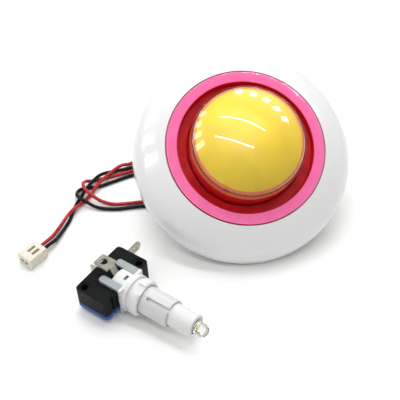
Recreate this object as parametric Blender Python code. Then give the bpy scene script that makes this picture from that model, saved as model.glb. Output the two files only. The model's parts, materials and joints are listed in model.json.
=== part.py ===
"""Dome push button for a quiz buzzer, with its lamp holder and switch module lying beside it.

The button leans on the lower edge of its rim and on the end of its threaded barrel. Its two-wire
lead lies on the table in a loop, and the lamp holder with its snap-action switch is unplugged.
World frame: metres, +Z up, table at z = 0, origin under the middle of the rigid pieces.
Button frame (BUTTON): z = 0 on the panel seat, +Z out through the dome, +X downhill.
Module frame (MODULE): +X along the lamp axis towards the lamp, x = 0 on the switch's rear edge.
"""

import math

import bmesh
import bpy
from mathutils import Euler, Matrix, Vector

MM = 0.001
GAP = 0.3 * MM

# Driving dimensions of the button
RIM_RADIUS = 47.6 * MM
RIM_INNER_RADIUS = 45.3 * MM
FRONT_EDGE_RADIUS = 34.3 * MM
FRONT_EDGE_HEIGHT = 16.2 * MM
LENS_INNER_RADIUS = 29.2 * MM
LIP_RADIUS = 24.9 * MM
DOME_RADIUS = 24.3 * MM
DOME_RIM_HEIGHT = 25.0 * MM
DOME_TOP_HEIGHT = 33.2 * MM
DOME_WALL = 1.5 * MM
PRESS_TRAVEL = 3.2 * MM
GROMMET_TOP = 5.2 * MM
BARREL_RADIUS = 12.0 * MM
BORE_RADIUS = 8.5 * MM
THREAD_PITCH = 2.5 * MM
THREAD_DEPTH = 0.7 * MM
DISC_BOTTOM = 0.6 * MM
DISC_TOP = 4.0 * MM
SCREW_CIRCLE = 40.2 * MM
SCREW_COUNT = 4
LED_COUNT = 8
LED_CIRCLE = 33.9 * MM
GROMMET_AT = 30.0 * MM

# How the button leans, and where it stands
LEAN = math.radians(29.9)
LEAN_HEADING = math.radians(-77.9)
RIM_SIDES = 56
BARREL_SIDES = 24
BUTTON_X = 9.86 * MM
BUTTON_Y = 21.9 * MM

# Driving dimensions of the lamp holder and switch module
CASE_LENGTH = 27.8 * MM
CASE_WIDTH = 15.9 * MM
CASE_HALF = 5.15 * MM
CASE_NEAR_END = -14.6 * MM
CASE_FAR_END = CASE_NEAR_END + CASE_LENGTH
CASE_WALL = 1.5 * MM
HOLE_RADIUS = 1.55 * MM
PLUNGER_OFFSET = -5.6 * MM
SWITCH_TRAVEL = 1.1 * MM
FLANGE_START = 17.4 * MM
FLANGE_RADIUS = 8.0 * MM
COLLAR_RADIUS = 7.25 * MM
HOLDER_BORE = 6.3 * MM
HOLDER_END = 25.0 * MM
HOLDER_SIDES = 40
SLEEVE_RADIUS = 6.0 * MM
SLEEVE_END = 38.4 * MM
SOCKET_RADIUS = 4.9 * MM
SOCKET_BORE = 3.3 * MM
SOCKET_END = 49.5 * MM
LAMP_RADIUS = 2.75 * MM
LAMP_TIP = 55.1 * MM
TAB_DROP = 1.9 * MM
TAB_OVERHANG = 1.0 * MM
MODULE_HEADING = math.radians(-35.6)
MODULE_X = -49.49 * MM
MODULE_Y = -30.1 * MM

# The lead
WIRE_DIAMETER = 1.6 * MM
WIRE_POINTS = 78
LOWEST_WIRE = WIRE_DIAMETER / 2 + 0.01 * MM
CONNECTOR_X = -76.09 * MM
CONNECTOR_Y = -12.9 * MM
CONNECTOR_HEADING = math.radians(-130.0)
CONNECTOR_LENGTH = 9.8 * MM
CONNECTOR_WIDTH = 7.2 * MM
CONNECTOR_HEIGHT = 5.75 * MM
CONTACT_PITCH = 2.5 * MM


# ---------------------------------------------------------------- scene and materials


def clear_scene():
    """Remove whatever objects the file starts with."""
    for obj in list(bpy.data.objects):
        bpy.data.objects.remove(obj, do_unlink=True)


def make_material(name, colour, roughness, metallic=0.0, alpha=1.0):
    """A Principled material with the piece's own colour."""
    material = bpy.data.materials.new(name)
    material.use_nodes = True
    shader = material.node_tree.nodes["Principled BSDF"]
    shader.inputs["Base Color"].default_value = (*colour, 1.0)
    shader.inputs["Roughness"].default_value = roughness
    shader.inputs["Metallic"].default_value = metallic
    shader.inputs["Alpha"].default_value = alpha
    return material


def link(obj, material, parent=None, location=(0, 0, 0), rotation=(0, 0, 0)):
    """Put an object into the scene with its material, parent and place."""
    bpy.context.scene.collection.objects.link(obj)
    obj.parent = parent
    obj.location = location
    obj.rotation_euler = rotation
    if material is not None:
        obj.data.materials.append(material)
    return obj


def make_frame(name, location, rotation):
    """An empty that carries the pieces of one unit."""
    return link(bpy.data.objects.new(name, None), None, None, location, rotation)


def finish_mesh(name, bm, smooth_angle=32.0):
    """Turn a bmesh into an object with outward faces and smooth round surfaces."""
    bmesh.ops.recalc_face_normals(bm, faces=bm.faces)
    mesh = bpy.data.meshes.new(name)
    bm.to_mesh(mesh)
    bm.free()
    mesh.shade_smooth()
    mesh.set_sharp_from_angle(angle=math.radians(smooth_angle))
    return bpy.data.objects.new(name, mesh)


# ---------------------------------------------------------------- shapes


def turned(name, profile, sides, phase=0.5):
    """A closed (radius, height) profile turned round Z; points on the axis become poles."""
    bm = bmesh.new()
    rings = []
    for radius, height in profile:
        if radius == 0:
            rings.append([bm.verts.new((0, 0, height))])
            continue
        angles = [(i + phase) * math.tau / sides for i in range(sides)]
        rings.append([bm.verts.new((radius * math.cos(a), radius * math.sin(a), height)) for a in angles])
    for ring, following in zip(rings, rings[1:] + rings[:1]):
        if len(ring) == 1 and len(following) == 1:
            continue
        for i in range(sides):
            j = (i + 1) % sides
            corners = [ring[i % len(ring)], ring[j % len(ring)]]
            corners += [following[j % len(following)], following[i % len(following)]]
            bm.faces.new(list(dict.fromkeys(corners)))
    return finish_mesh(name, bm)


def arc(centre, radius, start_deg, end_deg, count):
    """Points along an arc in the profile plane."""
    steps = [start_deg + (end_deg - start_deg) * i / (count - 1) for i in range(count)]
    return [
        (centre[0] + radius * math.cos(math.radians(a)), centre[1] + radius * math.sin(math.radians(a)))
        for a in steps
    ]


def tube_profile(inner, outer, low, high):
    """The profile of a plain tube."""
    return [(inner, low), (outer, low), (outer, high), (inner, high)]


def prism(name, outline, low, high):
    """A flat outline in X and Y, raised from low to high."""
    bm = bmesh.new()
    bottom = [bm.verts.new((x, y, low)) for x, y in outline]
    top = [bm.verts.new((x, y, high)) for x, y in outline]
    bm.faces.new(bottom)
    bm.faces.new(top)
    for i in range(len(outline)):
        j = (i + 1) % len(outline)
        bm.faces.new((bottom[i], bottom[j], top[j], top[i]))
    return finish_mesh(name, bm)


def box(name, low, high):
    """A box between two corners."""
    outline = [(low[0], low[1]), (high[0], low[1]), (high[0], high[1]), (low[0], high[1])]
    return prism(name, outline, low[2], high[2])


def rounded_outline(low, high, radii, steps=5):
    """A rectangle with its own corner radius at each corner, counter-clockwise from low."""
    corners = [
        (low[0] + radii[0], low[1] + radii[0], radii[0], 180),
        (high[0] - radii[1], low[1] + radii[1], radii[1], 270),
        (high[0] - radii[2], high[1] - radii[2], radii[2], 0),
        (low[0] + radii[3], high[1] - radii[3], radii[3], 90),
    ]
    outline = []
    for x, y, radius, start in corners:
        outline += arc((x, y), radius, start, start + 90, steps)
    return outline


def cylinder(name, centre, radius, low, high, sides=16):
    """A plain cylinder along Z round a centre in X and Y."""
    return prism(name, arc(centre, radius, 0, 360, sides + 1)[:-1], low, high)


def reshape(obj, matrix):
    """Turn or move a mesh inside its own object."""
    obj.data.transform(matrix)
    return obj


def combine(obj, tool, operation, parent):
    """Add or subtract a helper solid, which shares the object's frame and stays out of the build."""
    link(tool, None, parent)
    tool.hide_render = True
    tool.display_type = "WIRE"
    modifier = obj.modifiers.new(operation.lower(), "BOOLEAN")
    modifier.operation = operation
    modifier.solver = "EXACT"
    modifier.object = tool


def add_parts(obj, tools, parent):
    for tool in tools:
        combine(obj, tool, "UNION", parent)


def cut_parts(obj, tools, parent):
    for tool in tools:
        combine(obj, tool, "DIFFERENCE", parent)


# ---------------------------------------------------------------- the button's housing


def rim_apothem():
    """Distance from the axis to the flat of the rim that meets the table."""
    return RIM_RADIUS * math.cos(math.pi / RIM_SIDES)


def barrel_length():
    """The barrel reaches the table together with the rim's lower edge."""
    barrel_flat = BARREL_RADIUS * math.cos(math.pi / BARREL_SIDES)
    return (rim_apothem() - barrel_flat) * math.tan(LEAN)


def screw_places():
    """Middle of each body screw, in the button frame."""
    angles = [math.radians(45 + 360 * i / SCREW_COUNT) for i in range(SCREW_COUNT)]
    return [(SCREW_CIRCLE * math.cos(a), SCREW_CIRCLE * math.sin(a)) for a in angles]


def build_bezel(button, white):
    outer = [(RIM_RADIUS, 0), (47.4 * MM, 4.6 * MM)]
    outer += arc((41.3 * MM, 5.6 * MM), 6.0 * MM, 2, 58, 4)
    outer += [(40.4 * MM, 13.0 * MM), (37.4 * MM, 14.8 * MM), (FRONT_EDGE_RADIUS, FRONT_EDGE_HEIGHT)]
    inner = [
        (FRONT_EDGE_RADIUS, 14.5 * MM),
        (32.6 * MM, 14.5 * MM),
        (32.6 * MM, 12.9 * MM),
        (36.4 * MM, 12.7 * MM),
        (40.4 * MM, 10.9 * MM),
        (43.6 * MM, 8.4 * MM),
        (RIM_INNER_RADIUS, 4.8 * MM),
        (RIM_INNER_RADIUS, 0),
    ]
    bezel = link(turned("bezel_shell", outer + inner, RIM_SIDES), white, button)
    bosses = []
    holes = []
    for i, place in enumerate(screw_places()):
        bosses.append(cylinder(f"boss_{i}", place, 2.4 * MM, DISC_TOP + GAP, 11.6 * MM, 12))
        holes.append(cylinder(f"pilot_{i}", place, 1.2 * MM, 3.0 * MM, 8.8 * MM, 10))
    add_parts(bezel, bosses, button)
    cut_parts(bezel, holes, button)
    return bezel


def build_lens(button, pink):
    profile = [
        (33.7 * MM, 16.5 * MM),
        (34.0 * MM, 16.2 * MM),
        (34.0 * MM, 14.8 * MM),
        (30.6 * MM, 14.8 * MM),
        (30.6 * MM, 10.2 * MM),
        (LIP_RADIUS, 10.2 * MM),
        (LIP_RADIUS, 11.6 * MM),
        (LENS_INNER_RADIUS, 11.6 * MM),
        (LENS_INNER_RADIUS, 16.1 * MM),
        (29.6 * MM, 16.5 * MM),
    ]
    return link(turned("light_ring_lens", profile, 48), pink, button)


def build_leds(button, board_green, led_white):
    board = turned("led_ring_board", tube_profile(30.8 * MM, 37.2 * MM, DISC_TOP + GAP, 5.9 * MM), 36)
    link(board, board_green, button)
    cut_parts(board, [cylinder("grommet_notch", (0, -GROMMET_AT), 4.8 * MM, 3 * MM, 7 * MM, 20)], button)
    for i in range(LED_COUNT):
        led = box(f"led_{i + 1}", (-2.4 * MM, -2.4 * MM, 0), (2.4 * MM, 2.4 * MM, 1.6 * MM))
        angle = math.tau * (i + 0.5) / LED_COUNT
        place = (LED_CIRCLE * math.cos(angle), LED_CIRCLE * math.sin(angle), 5.9 * MM + GAP)
        link(led, led_white, button, place, (0, 0, angle))


def thread_radius(radius, height, angle, low, high):
    """Radius of the barrel's outer wall where a helical thread runs over it."""
    turns = (height / THREAD_PITCH - angle / math.tau) % 1.0
    ridge = 1.0 - abs(2.0 * turns - 1.0)
    fade = min(1.0, (height - low) / THREAD_PITCH, (high - height) / THREAD_PITCH)
    return radius - THREAD_DEPTH * max(0.0, fade) * (1.0 - ridge)


def build_barrel_housing(button, white):
    bottom = -barrel_length()
    low = bottom + 1.2 * MM
    high = DISC_BOTTOM - 0.6 * MM
    rows = 21
    wall = [(BARREL_RADIUS, low + (high - low) * i / rows) for i in range(rows + 1)]
    profile = [(BORE_RADIUS, bottom), (BARREL_RADIUS, bottom)] + wall
    profile += [
        (BARREL_RADIUS, DISC_BOTTOM),
        (44.8 * MM, DISC_BOTTOM),
        (44.8 * MM, DISC_TOP),
        (10.3 * MM, DISC_TOP),
        (10.3 * MM, 5.8 * MM),
        (BORE_RADIUS, 5.8 * MM),
    ]
    housing = turned("barrel_housing", profile, BARREL_SIDES)
    for vertex in housing.data.vertices:
        height = vertex.co.z
        radius = math.hypot(vertex.co.x, vertex.co.y)
        if low <= height <= high and radius > BORE_RADIUS + MM:
            angle = math.atan2(vertex.co.y, vertex.co.x)
            scale = thread_radius(radius, height, angle, low, high) / radius
            vertex.co.x *= scale
            vertex.co.y *= scale
    link(housing, white, button)
    cutters = [cylinder("wire_hole", (0, -GROMMET_AT), 3.6 * MM, 0, 5 * MM, 20)]
    for i, place in enumerate(screw_places()):
        cutters.append(cylinder(f"screw_hole_{i}", place, 1.4 * MM, 0, 5 * MM, 12))
        cutters.append(cylinder(f"screw_seat_{i}", place, 2.7 * MM, 0, 2.6 * MM, 16))
    cut_parts(housing, cutters, button)
    return housing


def build_screws(button, steel):
    profile = [
        (0, 0.9 * MM),
        (1.0 * MM, 0.9 * MM),
        (1.9 * MM, 1.2 * MM),
        (2.2 * MM, 1.8 * MM),
        (2.2 * MM, 2.3 * MM),
        (1.0 * MM, 2.3 * MM),
        (1.0 * MM, 8.0 * MM),
        (0, 8.4 * MM),
    ]
    slot_low = Vector((-0.25 * MM, -1.3 * MM, 0.5 * MM))
    slot_high = Vector((0.25 * MM, 1.3 * MM, 1.6 * MM))
    for i, (x, y) in enumerate(screw_places()):
        screw = link(turned(f"body_screw_{i + 1}", profile, 12), steel, button, (x, y, 0))
        cross = [box(f"slot_{i}_a", slot_low, slot_high), box(f"slot_{i}_b", slot_low, slot_high)]
        reshape(cross[1], Matrix.Rotation(math.pi / 2, 4, "Z"))
        cut_parts(screw, cross, button)
        for tool in cross:
            tool.location = (x, y, 0)


def build_grommet(button, black_rubber):
    profile = [
        (1.95 * MM, -1.4 * MM),
        (2.6 * MM, -1.4 * MM),
        (4.6 * MM, -0.6 * MM),
        (4.6 * MM, DISC_BOTTOM - GAP),
        (3.3 * MM, DISC_BOTTOM - GAP),
        (3.3 * MM, DISC_TOP + GAP),
        (4.4 * MM, DISC_TOP + GAP),
        (4.4 * MM, GROMMET_TOP),
        (1.95 * MM, GROMMET_TOP),
    ]
    return link(turned("wire_grommet", profile, 16), black_rubber, button, (0, -GROMMET_AT, 0))


# ---------------------------------------------------------------- the push button itself


def dome_points(radius, rim_height, top_height, count):
    """Half of a shallow spherical cap, from its rim to the axis."""
    rise = top_height - rim_height
    sphere = (radius**2 + rise**2) / (2 * rise)
    centre = top_height - sphere
    start = math.asin(radius / sphere)
    angles = [start * (1 - i / (count - 1)) for i in range(count)]
    return [(sphere * math.sin(a) if a > 1e-9 else 0, centre + sphere * math.cos(a)) for a in angles]


def build_dome(button, clear, yellow):
    rim = DOME_RADIUS - 0.5 * MM
    outside = dome_points(rim, DOME_RIM_HEIGHT, DOME_TOP_HEIGHT, 7)
    inside = dome_points(rim - DOME_WALL, DOME_RIM_HEIGHT - 0.8 * MM, DOME_TOP_HEIGHT - DOME_WALL, 6)
    skirt = GROMMET_TOP + 0.2 * MM + PRESS_TRAVEL
    profile = [
        (22.8 * MM, skirt),
        (28.6 * MM, skirt),
        (28.6 * MM, 9.9 * MM),
        (DOME_RADIUS, 9.9 * MM),
        (DOME_RADIUS, DOME_RIM_HEIGHT - 0.6 * MM),
    ]
    profile += outside + inside[::-1] + [(22.8 * MM, DOME_RIM_HEIGHT - 1.6 * MM)]
    link(turned("dome_cover", profile, 44), clear, button)

    outside = dome_points(21.6 * MM, 23.2 * MM, 31.0 * MM, 7)
    inside = dome_points(20.4 * MM, 22.2 * MM, 29.8 * MM, 6)
    profile = [(21.0 * MM, 16.9 * MM), (22.4 * MM, 16.9 * MM), (22.4 * MM, 22.6 * MM)]
    profile += outside + inside[::-1] + [(21.0 * MM, 21.6 * MM)]
    return link(turned("dome_insert", profile, 36), yellow, button)


def build_plunger(button, white):
    profile = [
        (6.6 * MM, -9.0 * MM),
        (7.9 * MM, -9.0 * MM),
        (7.9 * MM, 15.0 * MM),
        (22.4 * MM, 15.0 * MM),
        (22.4 * MM, 16.6 * MM),
        (6.6 * MM, 16.6 * MM),
    ]
    plunger = link(turned("plunger", profile, 36), white, button)
    windows = []
    for i in range(4):
        window = box(f"light_window_{i}", (11 * MM, -4 * MM, 14 * MM), (19 * MM, 4 * MM, 18 * MM))
        windows.append(reshape(window, Matrix.Rotation(math.tau * i / 4, 4, "Z")))
    cut_parts(plunger, windows, button)
    return plunger


def build_return_spring(button, steel):
    """A coil wound round the barrel's guide, closed at both ends."""
    wire = 0.55 * MM
    coil = 11.6 * MM
    low = DISC_TOP + GAP + wire
    high = 15.0 * MM - GAP - wire
    turns = 5
    per_turn = 14
    sides = 5
    bm = bmesh.new()
    rings = []
    for i in range(turns * per_turn + 1):
        share = i / (turns * per_turn)
        closing = min(1.0, max(0.0, (share * turns - 0.7) / (turns - 1.4)))
        lift = 2.5 * wire * (min(share * turns, 0.7) + max(0.0, share * turns - turns + 0.7))
        height = low + lift + (high - low - 2 * 2.5 * wire * 0.7) * closing
        angle = math.tau * share * turns
        middle = Vector((coil * math.cos(angle), coil * math.sin(angle), height))
        out = Vector((math.cos(angle), math.sin(angle), 0))
        ring = []
        for k in range(sides):
            spot = math.tau * k / sides
            offset = math.cos(spot) * out + math.sin(spot) * Vector((0, 0, 1))
            ring.append(bm.verts.new(middle + wire * offset))
        rings.append(ring)
    for ring, following in zip(rings, rings[1:]):
        for k in range(sides):
            m = (k + 1) % sides
            bm.faces.new((ring[k], ring[m], following[m], following[k]))
    bm.faces.new(rings[0])
    bm.faces.new(rings[-1])
    return link(finish_mesh("return_spring", bm, 60), steel, button)


# ---------------------------------------------------------------- panel hardware


def build_panel_hardware(button, white):
    washer = turned("panel_washer", tube_profile(12.35 * MM, 15.6 * MM, -3.2 * MM, -2.0 * MM), 32)
    link(washer, white, button)
    top = -3.5 * MM
    bottom = -8.6 * MM
    body = turned("panel_nut", tube_profile(12.3 * MM, 15.4 * MM, bottom, top), 36)
    nut = link(body, white, button)
    grips = []
    for i in range(12):
        grip = cylinder(f"grip_{i}", (16.0 * MM, 0), 1.3 * MM, bottom - MM, top + MM, 10)
        grips.append(reshape(grip, Matrix.Rotation(math.tau * i / 12, 4, "Z")))
    cut_parts(nut, grips, button)
    return nut


# ---------------------------------------------------------------- the lamp holder


def along_x(obj):
    """Lay a piece turned round Z along the module's lamp axis."""
    return reshape(obj, Matrix.Rotation(math.pi / 2, 4, "Y"))


def build_lamp_holder(module, white):
    start = 10.3 * MM
    solid = turned(
        "lamp_holder",
        [
            (0, start),
            (COLLAR_RADIUS - 0.4 * MM, start),
            (COLLAR_RADIUS, start + 0.4 * MM),
            (COLLAR_RADIUS, FLANGE_START),
            (FLANGE_RADIUS, FLANGE_START),
            (FLANGE_RADIUS, 19.5 * MM),
            (6.95 * MM, 19.5 * MM),
            (6.95 * MM, 21.2 * MM),
            (7.85 * MM, 21.2 * MM),
            (7.85 * MM, 24.4 * MM),
            (7.4 * MM, HOLDER_END),
            (HOLDER_BORE, HOLDER_END),
            (HOLDER_BORE, 16.0 * MM),
            (0, 16.0 * MM),
        ],
        HOLDER_SIDES,
    )
    holder = link(along_x(solid), white, module)
    plate = box("seat_plate", (16.4 * MM, -7.1 * MM, -6.7 * MM), (17.6 * MM, 7.1 * MM, 6.7 * MM))
    plate_bore = cylinder("plate_bore", (0, 0), HOLDER_BORE, 15 * MM, 19 * MM, 48)
    arms = []
    for side in (-1, 1):
        for face in (-1, 1):
            corner_radii = (1.6 * MM, 0.2 * MM, 0.2 * MM, 1.6 * MM)
            outline = rounded_outline((5.9 * MM, -1.65 * MM), (17.0 * MM, 1.65 * MM), corner_radii)
            low = 5.45 * MM if face > 0 else -6.7 * MM
            arm = prism(f"arm_{side}_{face}", outline, low, low + 1.25 * MM)
            arms.append(reshape(arm, Matrix.Translation((0, side * 5.3 * MM, 0))))
    add_parts(holder, [plate] + arms, module)
    cuts = [
        along_x(plate_bore),
        box("switch_slot", (9 * MM, -9 * MM, -5.45 * MM), (16.4 * MM, 9 * MM, 5.45 * MM)),
        box("upper_channel", (9 * MM, -2.0 * MM, 5 * MM), (17.9 * MM, 2.0 * MM, 6.5 * MM)),
        box("lower_channel", (9 * MM, -2.0 * MM, -6.5 * MM), (17.9 * MM, 2.0 * MM, -5 * MM)),
        box("window", (14.5 * MM, -1.3 * MM, 6 * MM), (15.9 * MM, 1.3 * MM, 8 * MM)),
        box("button_relief", (16.3 * MM, -7.05 * MM, -2.0 * MM), (17.75 * MM, -4.1 * MM, 2.0 * MM)),
    ]
    for i in range(3):
        notch = box(f"lug_gap_{i}", (19.5 * MM, -2.2 * MM, 6.95 * MM), (26 * MM, 2.2 * MM, 9 * MM))
        cuts.append(reshape(notch, Matrix.Rotation(math.tau * (i + 0.12) / 3, 4, "X")))
    cut_parts(holder, cuts, module)
    return holder


def build_lamp_sleeve(module, milky):
    body = turned("lamp_sleeve", tube_profile(5.25 * MM, SLEEVE_RADIUS, FLANGE_START, SLEEVE_END), 40)
    sleeve = link(along_x(body), milky, module)
    cuts = [box("strip_clearance", (16 * MM, -2.6 * MM, -8 * MM), (21 * MM, 2.6 * MM, 8 * MM))]
    for i in range(4):
        slot = box(f"finger_slot_{i}", (27.5 * MM, -0.7 * MM, 4 * MM), (40 * MM, 0.7 * MM, 8 * MM))
        cuts.append(reshape(slot, Matrix.Rotation(math.radians(28 + 90 * i), 4, "X")))
    cut_parts(sleeve, cuts, module)
    return sleeve


def build_lamp_socket(module, white):
    profile = [
        (SOCKET_BORE, 18.0 * MM),
        (SOCKET_RADIUS, 18.0 * MM),
        (SOCKET_RADIUS, SOCKET_END - 0.5 * MM),
        (SOCKET_RADIUS - 0.5 * MM, SOCKET_END),
        (SOCKET_BORE, SOCKET_END),
    ]
    return link(along_x(turned("lamp_socket", profile, 28)), white, module)


def build_lamp(module, clear, white):
    profile = [(0, 49.9 * MM), (LAMP_RADIUS, 49.9 * MM), (LAMP_RADIUS, 52.6 * MM)]
    profile += [(2.6 * MM, 53.7 * MM), (2.0 * MM, 54.6 * MM), (1.0 * MM, 55.0 * MM), (0, LAMP_TIP)]
    link(along_x(turned("lamp_bulb", profile, 20)), clear, module)
    outline = [(41 * MM, -2.0 * MM), (49.6 * MM, -2.5 * MM), (49.6 * MM, 2.5 * MM), (41 * MM, 2.0 * MM)]
    return link(prism("lamp_base", outline, -1.8 * MM, 1.8 * MM), white, module)


def folded_strip(name, line, half_width, thickness):
    """A metal strip folded along a line in the X-Z plane, with square mitred folds."""
    left = []
    right = []
    for i, point in enumerate(line):
        point = Vector(point)
        before = (point - Vector(line[i - 1])).normalized() if i > 0 else None
        after = (Vector(line[i + 1]) - point).normalized() if i < len(line) - 1 else None
        direction = ((before or after) + (after or before)).normalized()
        normal = Vector((-direction.y, direction.x))
        stretch = 1.0 / max(0.5, direction.dot(after or before))
        left.append(point + normal * thickness / 2 * stretch)
        right.append(point - normal * thickness / 2 * stretch)
    strip = prism(name, [(p.x, p.y) for p in left + right[::-1]], -half_width, half_width)
    return reshape(strip, Matrix.Rotation(math.pi / 2, 4, "X"))


def build_lamp_terminals(module, nickel):
    upper = [
        (0.6 * MM, 9.45 * MM),
        (8.2 * MM, 9.45 * MM),
        (8.7 * MM, 7.6 * MM),
        (9.9 * MM, 5.9 * MM),
        (17.2 * MM, 5.9 * MM),
        (17.2 * MM, 2.45 * MM),
        (47.0 * MM, 2.45 * MM),
    ]
    lower = [
        (-TAB_OVERHANG, -CASE_HALF - TAB_DROP + 0.4 * MM),
        (8.1 * MM, -CASE_HALF - TAB_DROP + 0.4 * MM),
        (9.3 * MM, -5.9 * MM),
        (17.2 * MM, -5.9 * MM),
        (17.2 * MM, -2.45 * MM),
        (47.0 * MM, -2.45 * MM),
    ]
    strips = (("upper_lamp_terminal", upper), ("lower_lamp_terminal", lower))
    for name, line in strips:
        tab_height = line[0][1]
        strip = link(folded_strip(name, line, 1.5 * MM, 0.6 * MM), nickel, module)
        outline = rounded_outline(
            (line[0][0], -3.15 * MM), (8.0 * MM, 3.15 * MM), (1.0 * MM, 0.5 * MM, 0.5 * MM, 1.0 * MM), 3
        )
        tab = prism(f"{name}_tab", outline, tab_height - 0.4 * MM, tab_height + 0.4 * MM)
        hole = cylinder(f"{name}_hole", (3.9 * MM, 0), 1.6 * MM, tab_height - MM, tab_height + MM, 20)
        add_parts(strip, [tab], module)
        cut_parts(strip, [hole], module)


# ---------------------------------------------------------------- the snap-action switch


def case_outline():
    """The switch's face: large corners, and a shallow groove beside the plunger corner."""
    low = (0, CASE_NEAR_END)
    high = (CASE_WIDTH, CASE_FAR_END)
    corners = rounded_outline(low, high, (1.8 * MM, 2.6 * MM, 1.6 * MM, 1.8 * MM))
    groove = [
        (CASE_WIDTH, CASE_NEAR_END + 2.8 * MM),
        (CASE_WIDTH - 0.9 * MM, CASE_NEAR_END + 2.9 * MM),
        (CASE_WIDTH - 0.9 * MM, CASE_NEAR_END + 4.2 * MM),
        (CASE_WIDTH, CASE_NEAR_END + 4.3 * MM),
    ]
    return corners[:10] + groove + corners[10:]


def case_holes(name, low, high):
    """The two mounting holes, 22.2 by 10.3 apart."""
    near = (2.8 * MM, CASE_NEAR_END + 2.8 * MM)
    far = (near[0] + 10.3 * MM, near[1] + 22.2 * MM)
    return [cylinder(f"{name}_{i}", at, HOLE_RADIUS, low, high, 18) for i, at in enumerate((near, far))]


def build_switch_case(module, black, blue):
    split = -CASE_HALF + 2.0 * MM
    case = link(prism("switch_case", case_outline(), split, CASE_HALF), black, module)
    left = CASE_WALL
    right = CASE_WIDTH - CASE_WALL
    low = CASE_NEAR_END + CASE_WALL
    high = CASE_FAR_END - CASE_WALL
    pocket_outline = [
        (left, low + 4.4 * MM),
        (5.4 * MM, low + 4.4 * MM),
        (5.4 * MM, low),
        (right - 1.3 * MM, low),
        (right - 1.3 * MM, low + 3.4 * MM),
        (right, low + 3.4 * MM),
        (right, high - 4.4 * MM),
        (10.4 * MM, high - 4.4 * MM),
        (10.4 * MM, high),
        (left, high),
    ]
    cuts = [prism("switch_pocket", pocket_outline, split - MM, CASE_HALF - CASE_WALL)]
    cuts += case_holes("case_hole", split - MM, CASE_HALF + MM)
    y = PLUNGER_OFFSET
    cuts.append(box("plunger_slot", (13 * MM, y - 1.4 * MM, -2 * MM), (17 * MM, y + 1.4 * MM, 2 * MM)))
    cuts.append(box("common_slot", (2.7 * MM, 10 * MM, -2.7 * MM), (4.1 * MM, 15 * MM, 2.7 * MM)))
    cuts.append(box("open_slot", (-1 * MM, -0.3 * MM, -2.7 * MM), (3 * MM, 1.1 * MM, 2.7 * MM)))
    cut_parts(case, cuts, module)

    cover = link(prism("switch_cover", case_outline(), -CASE_HALF, split - GAP), blue, module)
    cut_parts(cover, case_holes("cover_hole", -CASE_HALF - MM, split + MM), module)
    return case


def build_switch_contacts(module, nickel, steel, grey):
    """Terminals, the moving blade and the button that the lamp sleeve pushes."""
    tip = CASE_FAR_END + 9.4 * MM
    common = box("common_terminal", (3.0 * MM, 8.8 * MM, -2.3 * MM), (3.8 * MM, tip - 3 * MM, 2.3 * MM))
    common = link(common, nickel, module)
    point_outline = [
        (tip - 3.2 * MM, -2.3 * MM),
        (tip - 1.2 * MM, -2.3 * MM),
        (tip, -0.9 * MM),
        (tip, 0.9 * MM),
        (tip - 1.2 * MM, 2.3 * MM),
        (tip - 3.2 * MM, 2.3 * MM),
    ]
    point = prism("common_point", point_outline, 3.0 * MM, 3.8 * MM)
    reshape(point, Matrix(((0, 0, 1, 0), (1, 0, 0, 0), (0, 1, 0, 0), (0, 0, 0, 1))))
    bracket = box("common_bracket", (3.2 * MM, 8.8 * MM, -1.8 * MM), (9.0 * MM, 9.5 * MM, 1.8 * MM))
    add_parts(common, [point, bracket], module)
    hole = along_x(cylinder("common_hole", (0, 0), 0.85 * MM, 2 * MM, 5 * MM, 14))
    reshape(hole, Matrix.Translation((0, tip - 3.4 * MM, 0)))
    cut_parts(common, [hole], module)

    opened = box("open_terminal", (-4.8 * MM, 0, -2.3 * MM), (4.2 * MM, 0.8 * MM, 2.3 * MM))
    opened = link(opened, nickel, module)
    arm = box("open_arm", (3.4 * MM, -8.6 * MM, -1.8 * MM), (4.2 * MM, 0.4 * MM, 1.8 * MM))
    rivet = box("open_rivet", (4.0 * MM, -8.4 * MM, -1.0 * MM), (6.9 * MM, -6.6 * MM, 1.0 * MM))
    add_parts(opened, [arm, rivet], module)

    pivot = (9.4 * MM, 8.2 * MM, 0)
    blade = box("switch_blade", (-0.2 * MM, -17.4 * MM, -1.6 * MM), (0.2 * MM, 0, 1.6 * MM))
    blade = link(blade, steel, module, pivot)
    contact = box("blade_contact", (-0.8 * MM, -16.6 * MM, -1.0 * MM), (0, -14.8 * MM, 1.0 * MM))
    add_parts(blade, [contact], module)
    contact.location = pivot

    y = PLUNGER_OFFSET
    corner_radii = (0.2 * MM, 0.7 * MM, 0.7 * MM, 0.2 * MM)
    outline = rounded_outline((9.9 * MM, y - 1.1 * MM), (17.1 * MM, y + 1.1 * MM), corner_radii, 3)
    return link(prism("switch_button", outline, -1.6 * MM, 1.6 * MM), grey, module)


# ---------------------------------------------------------------- the lead and its connector

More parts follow.
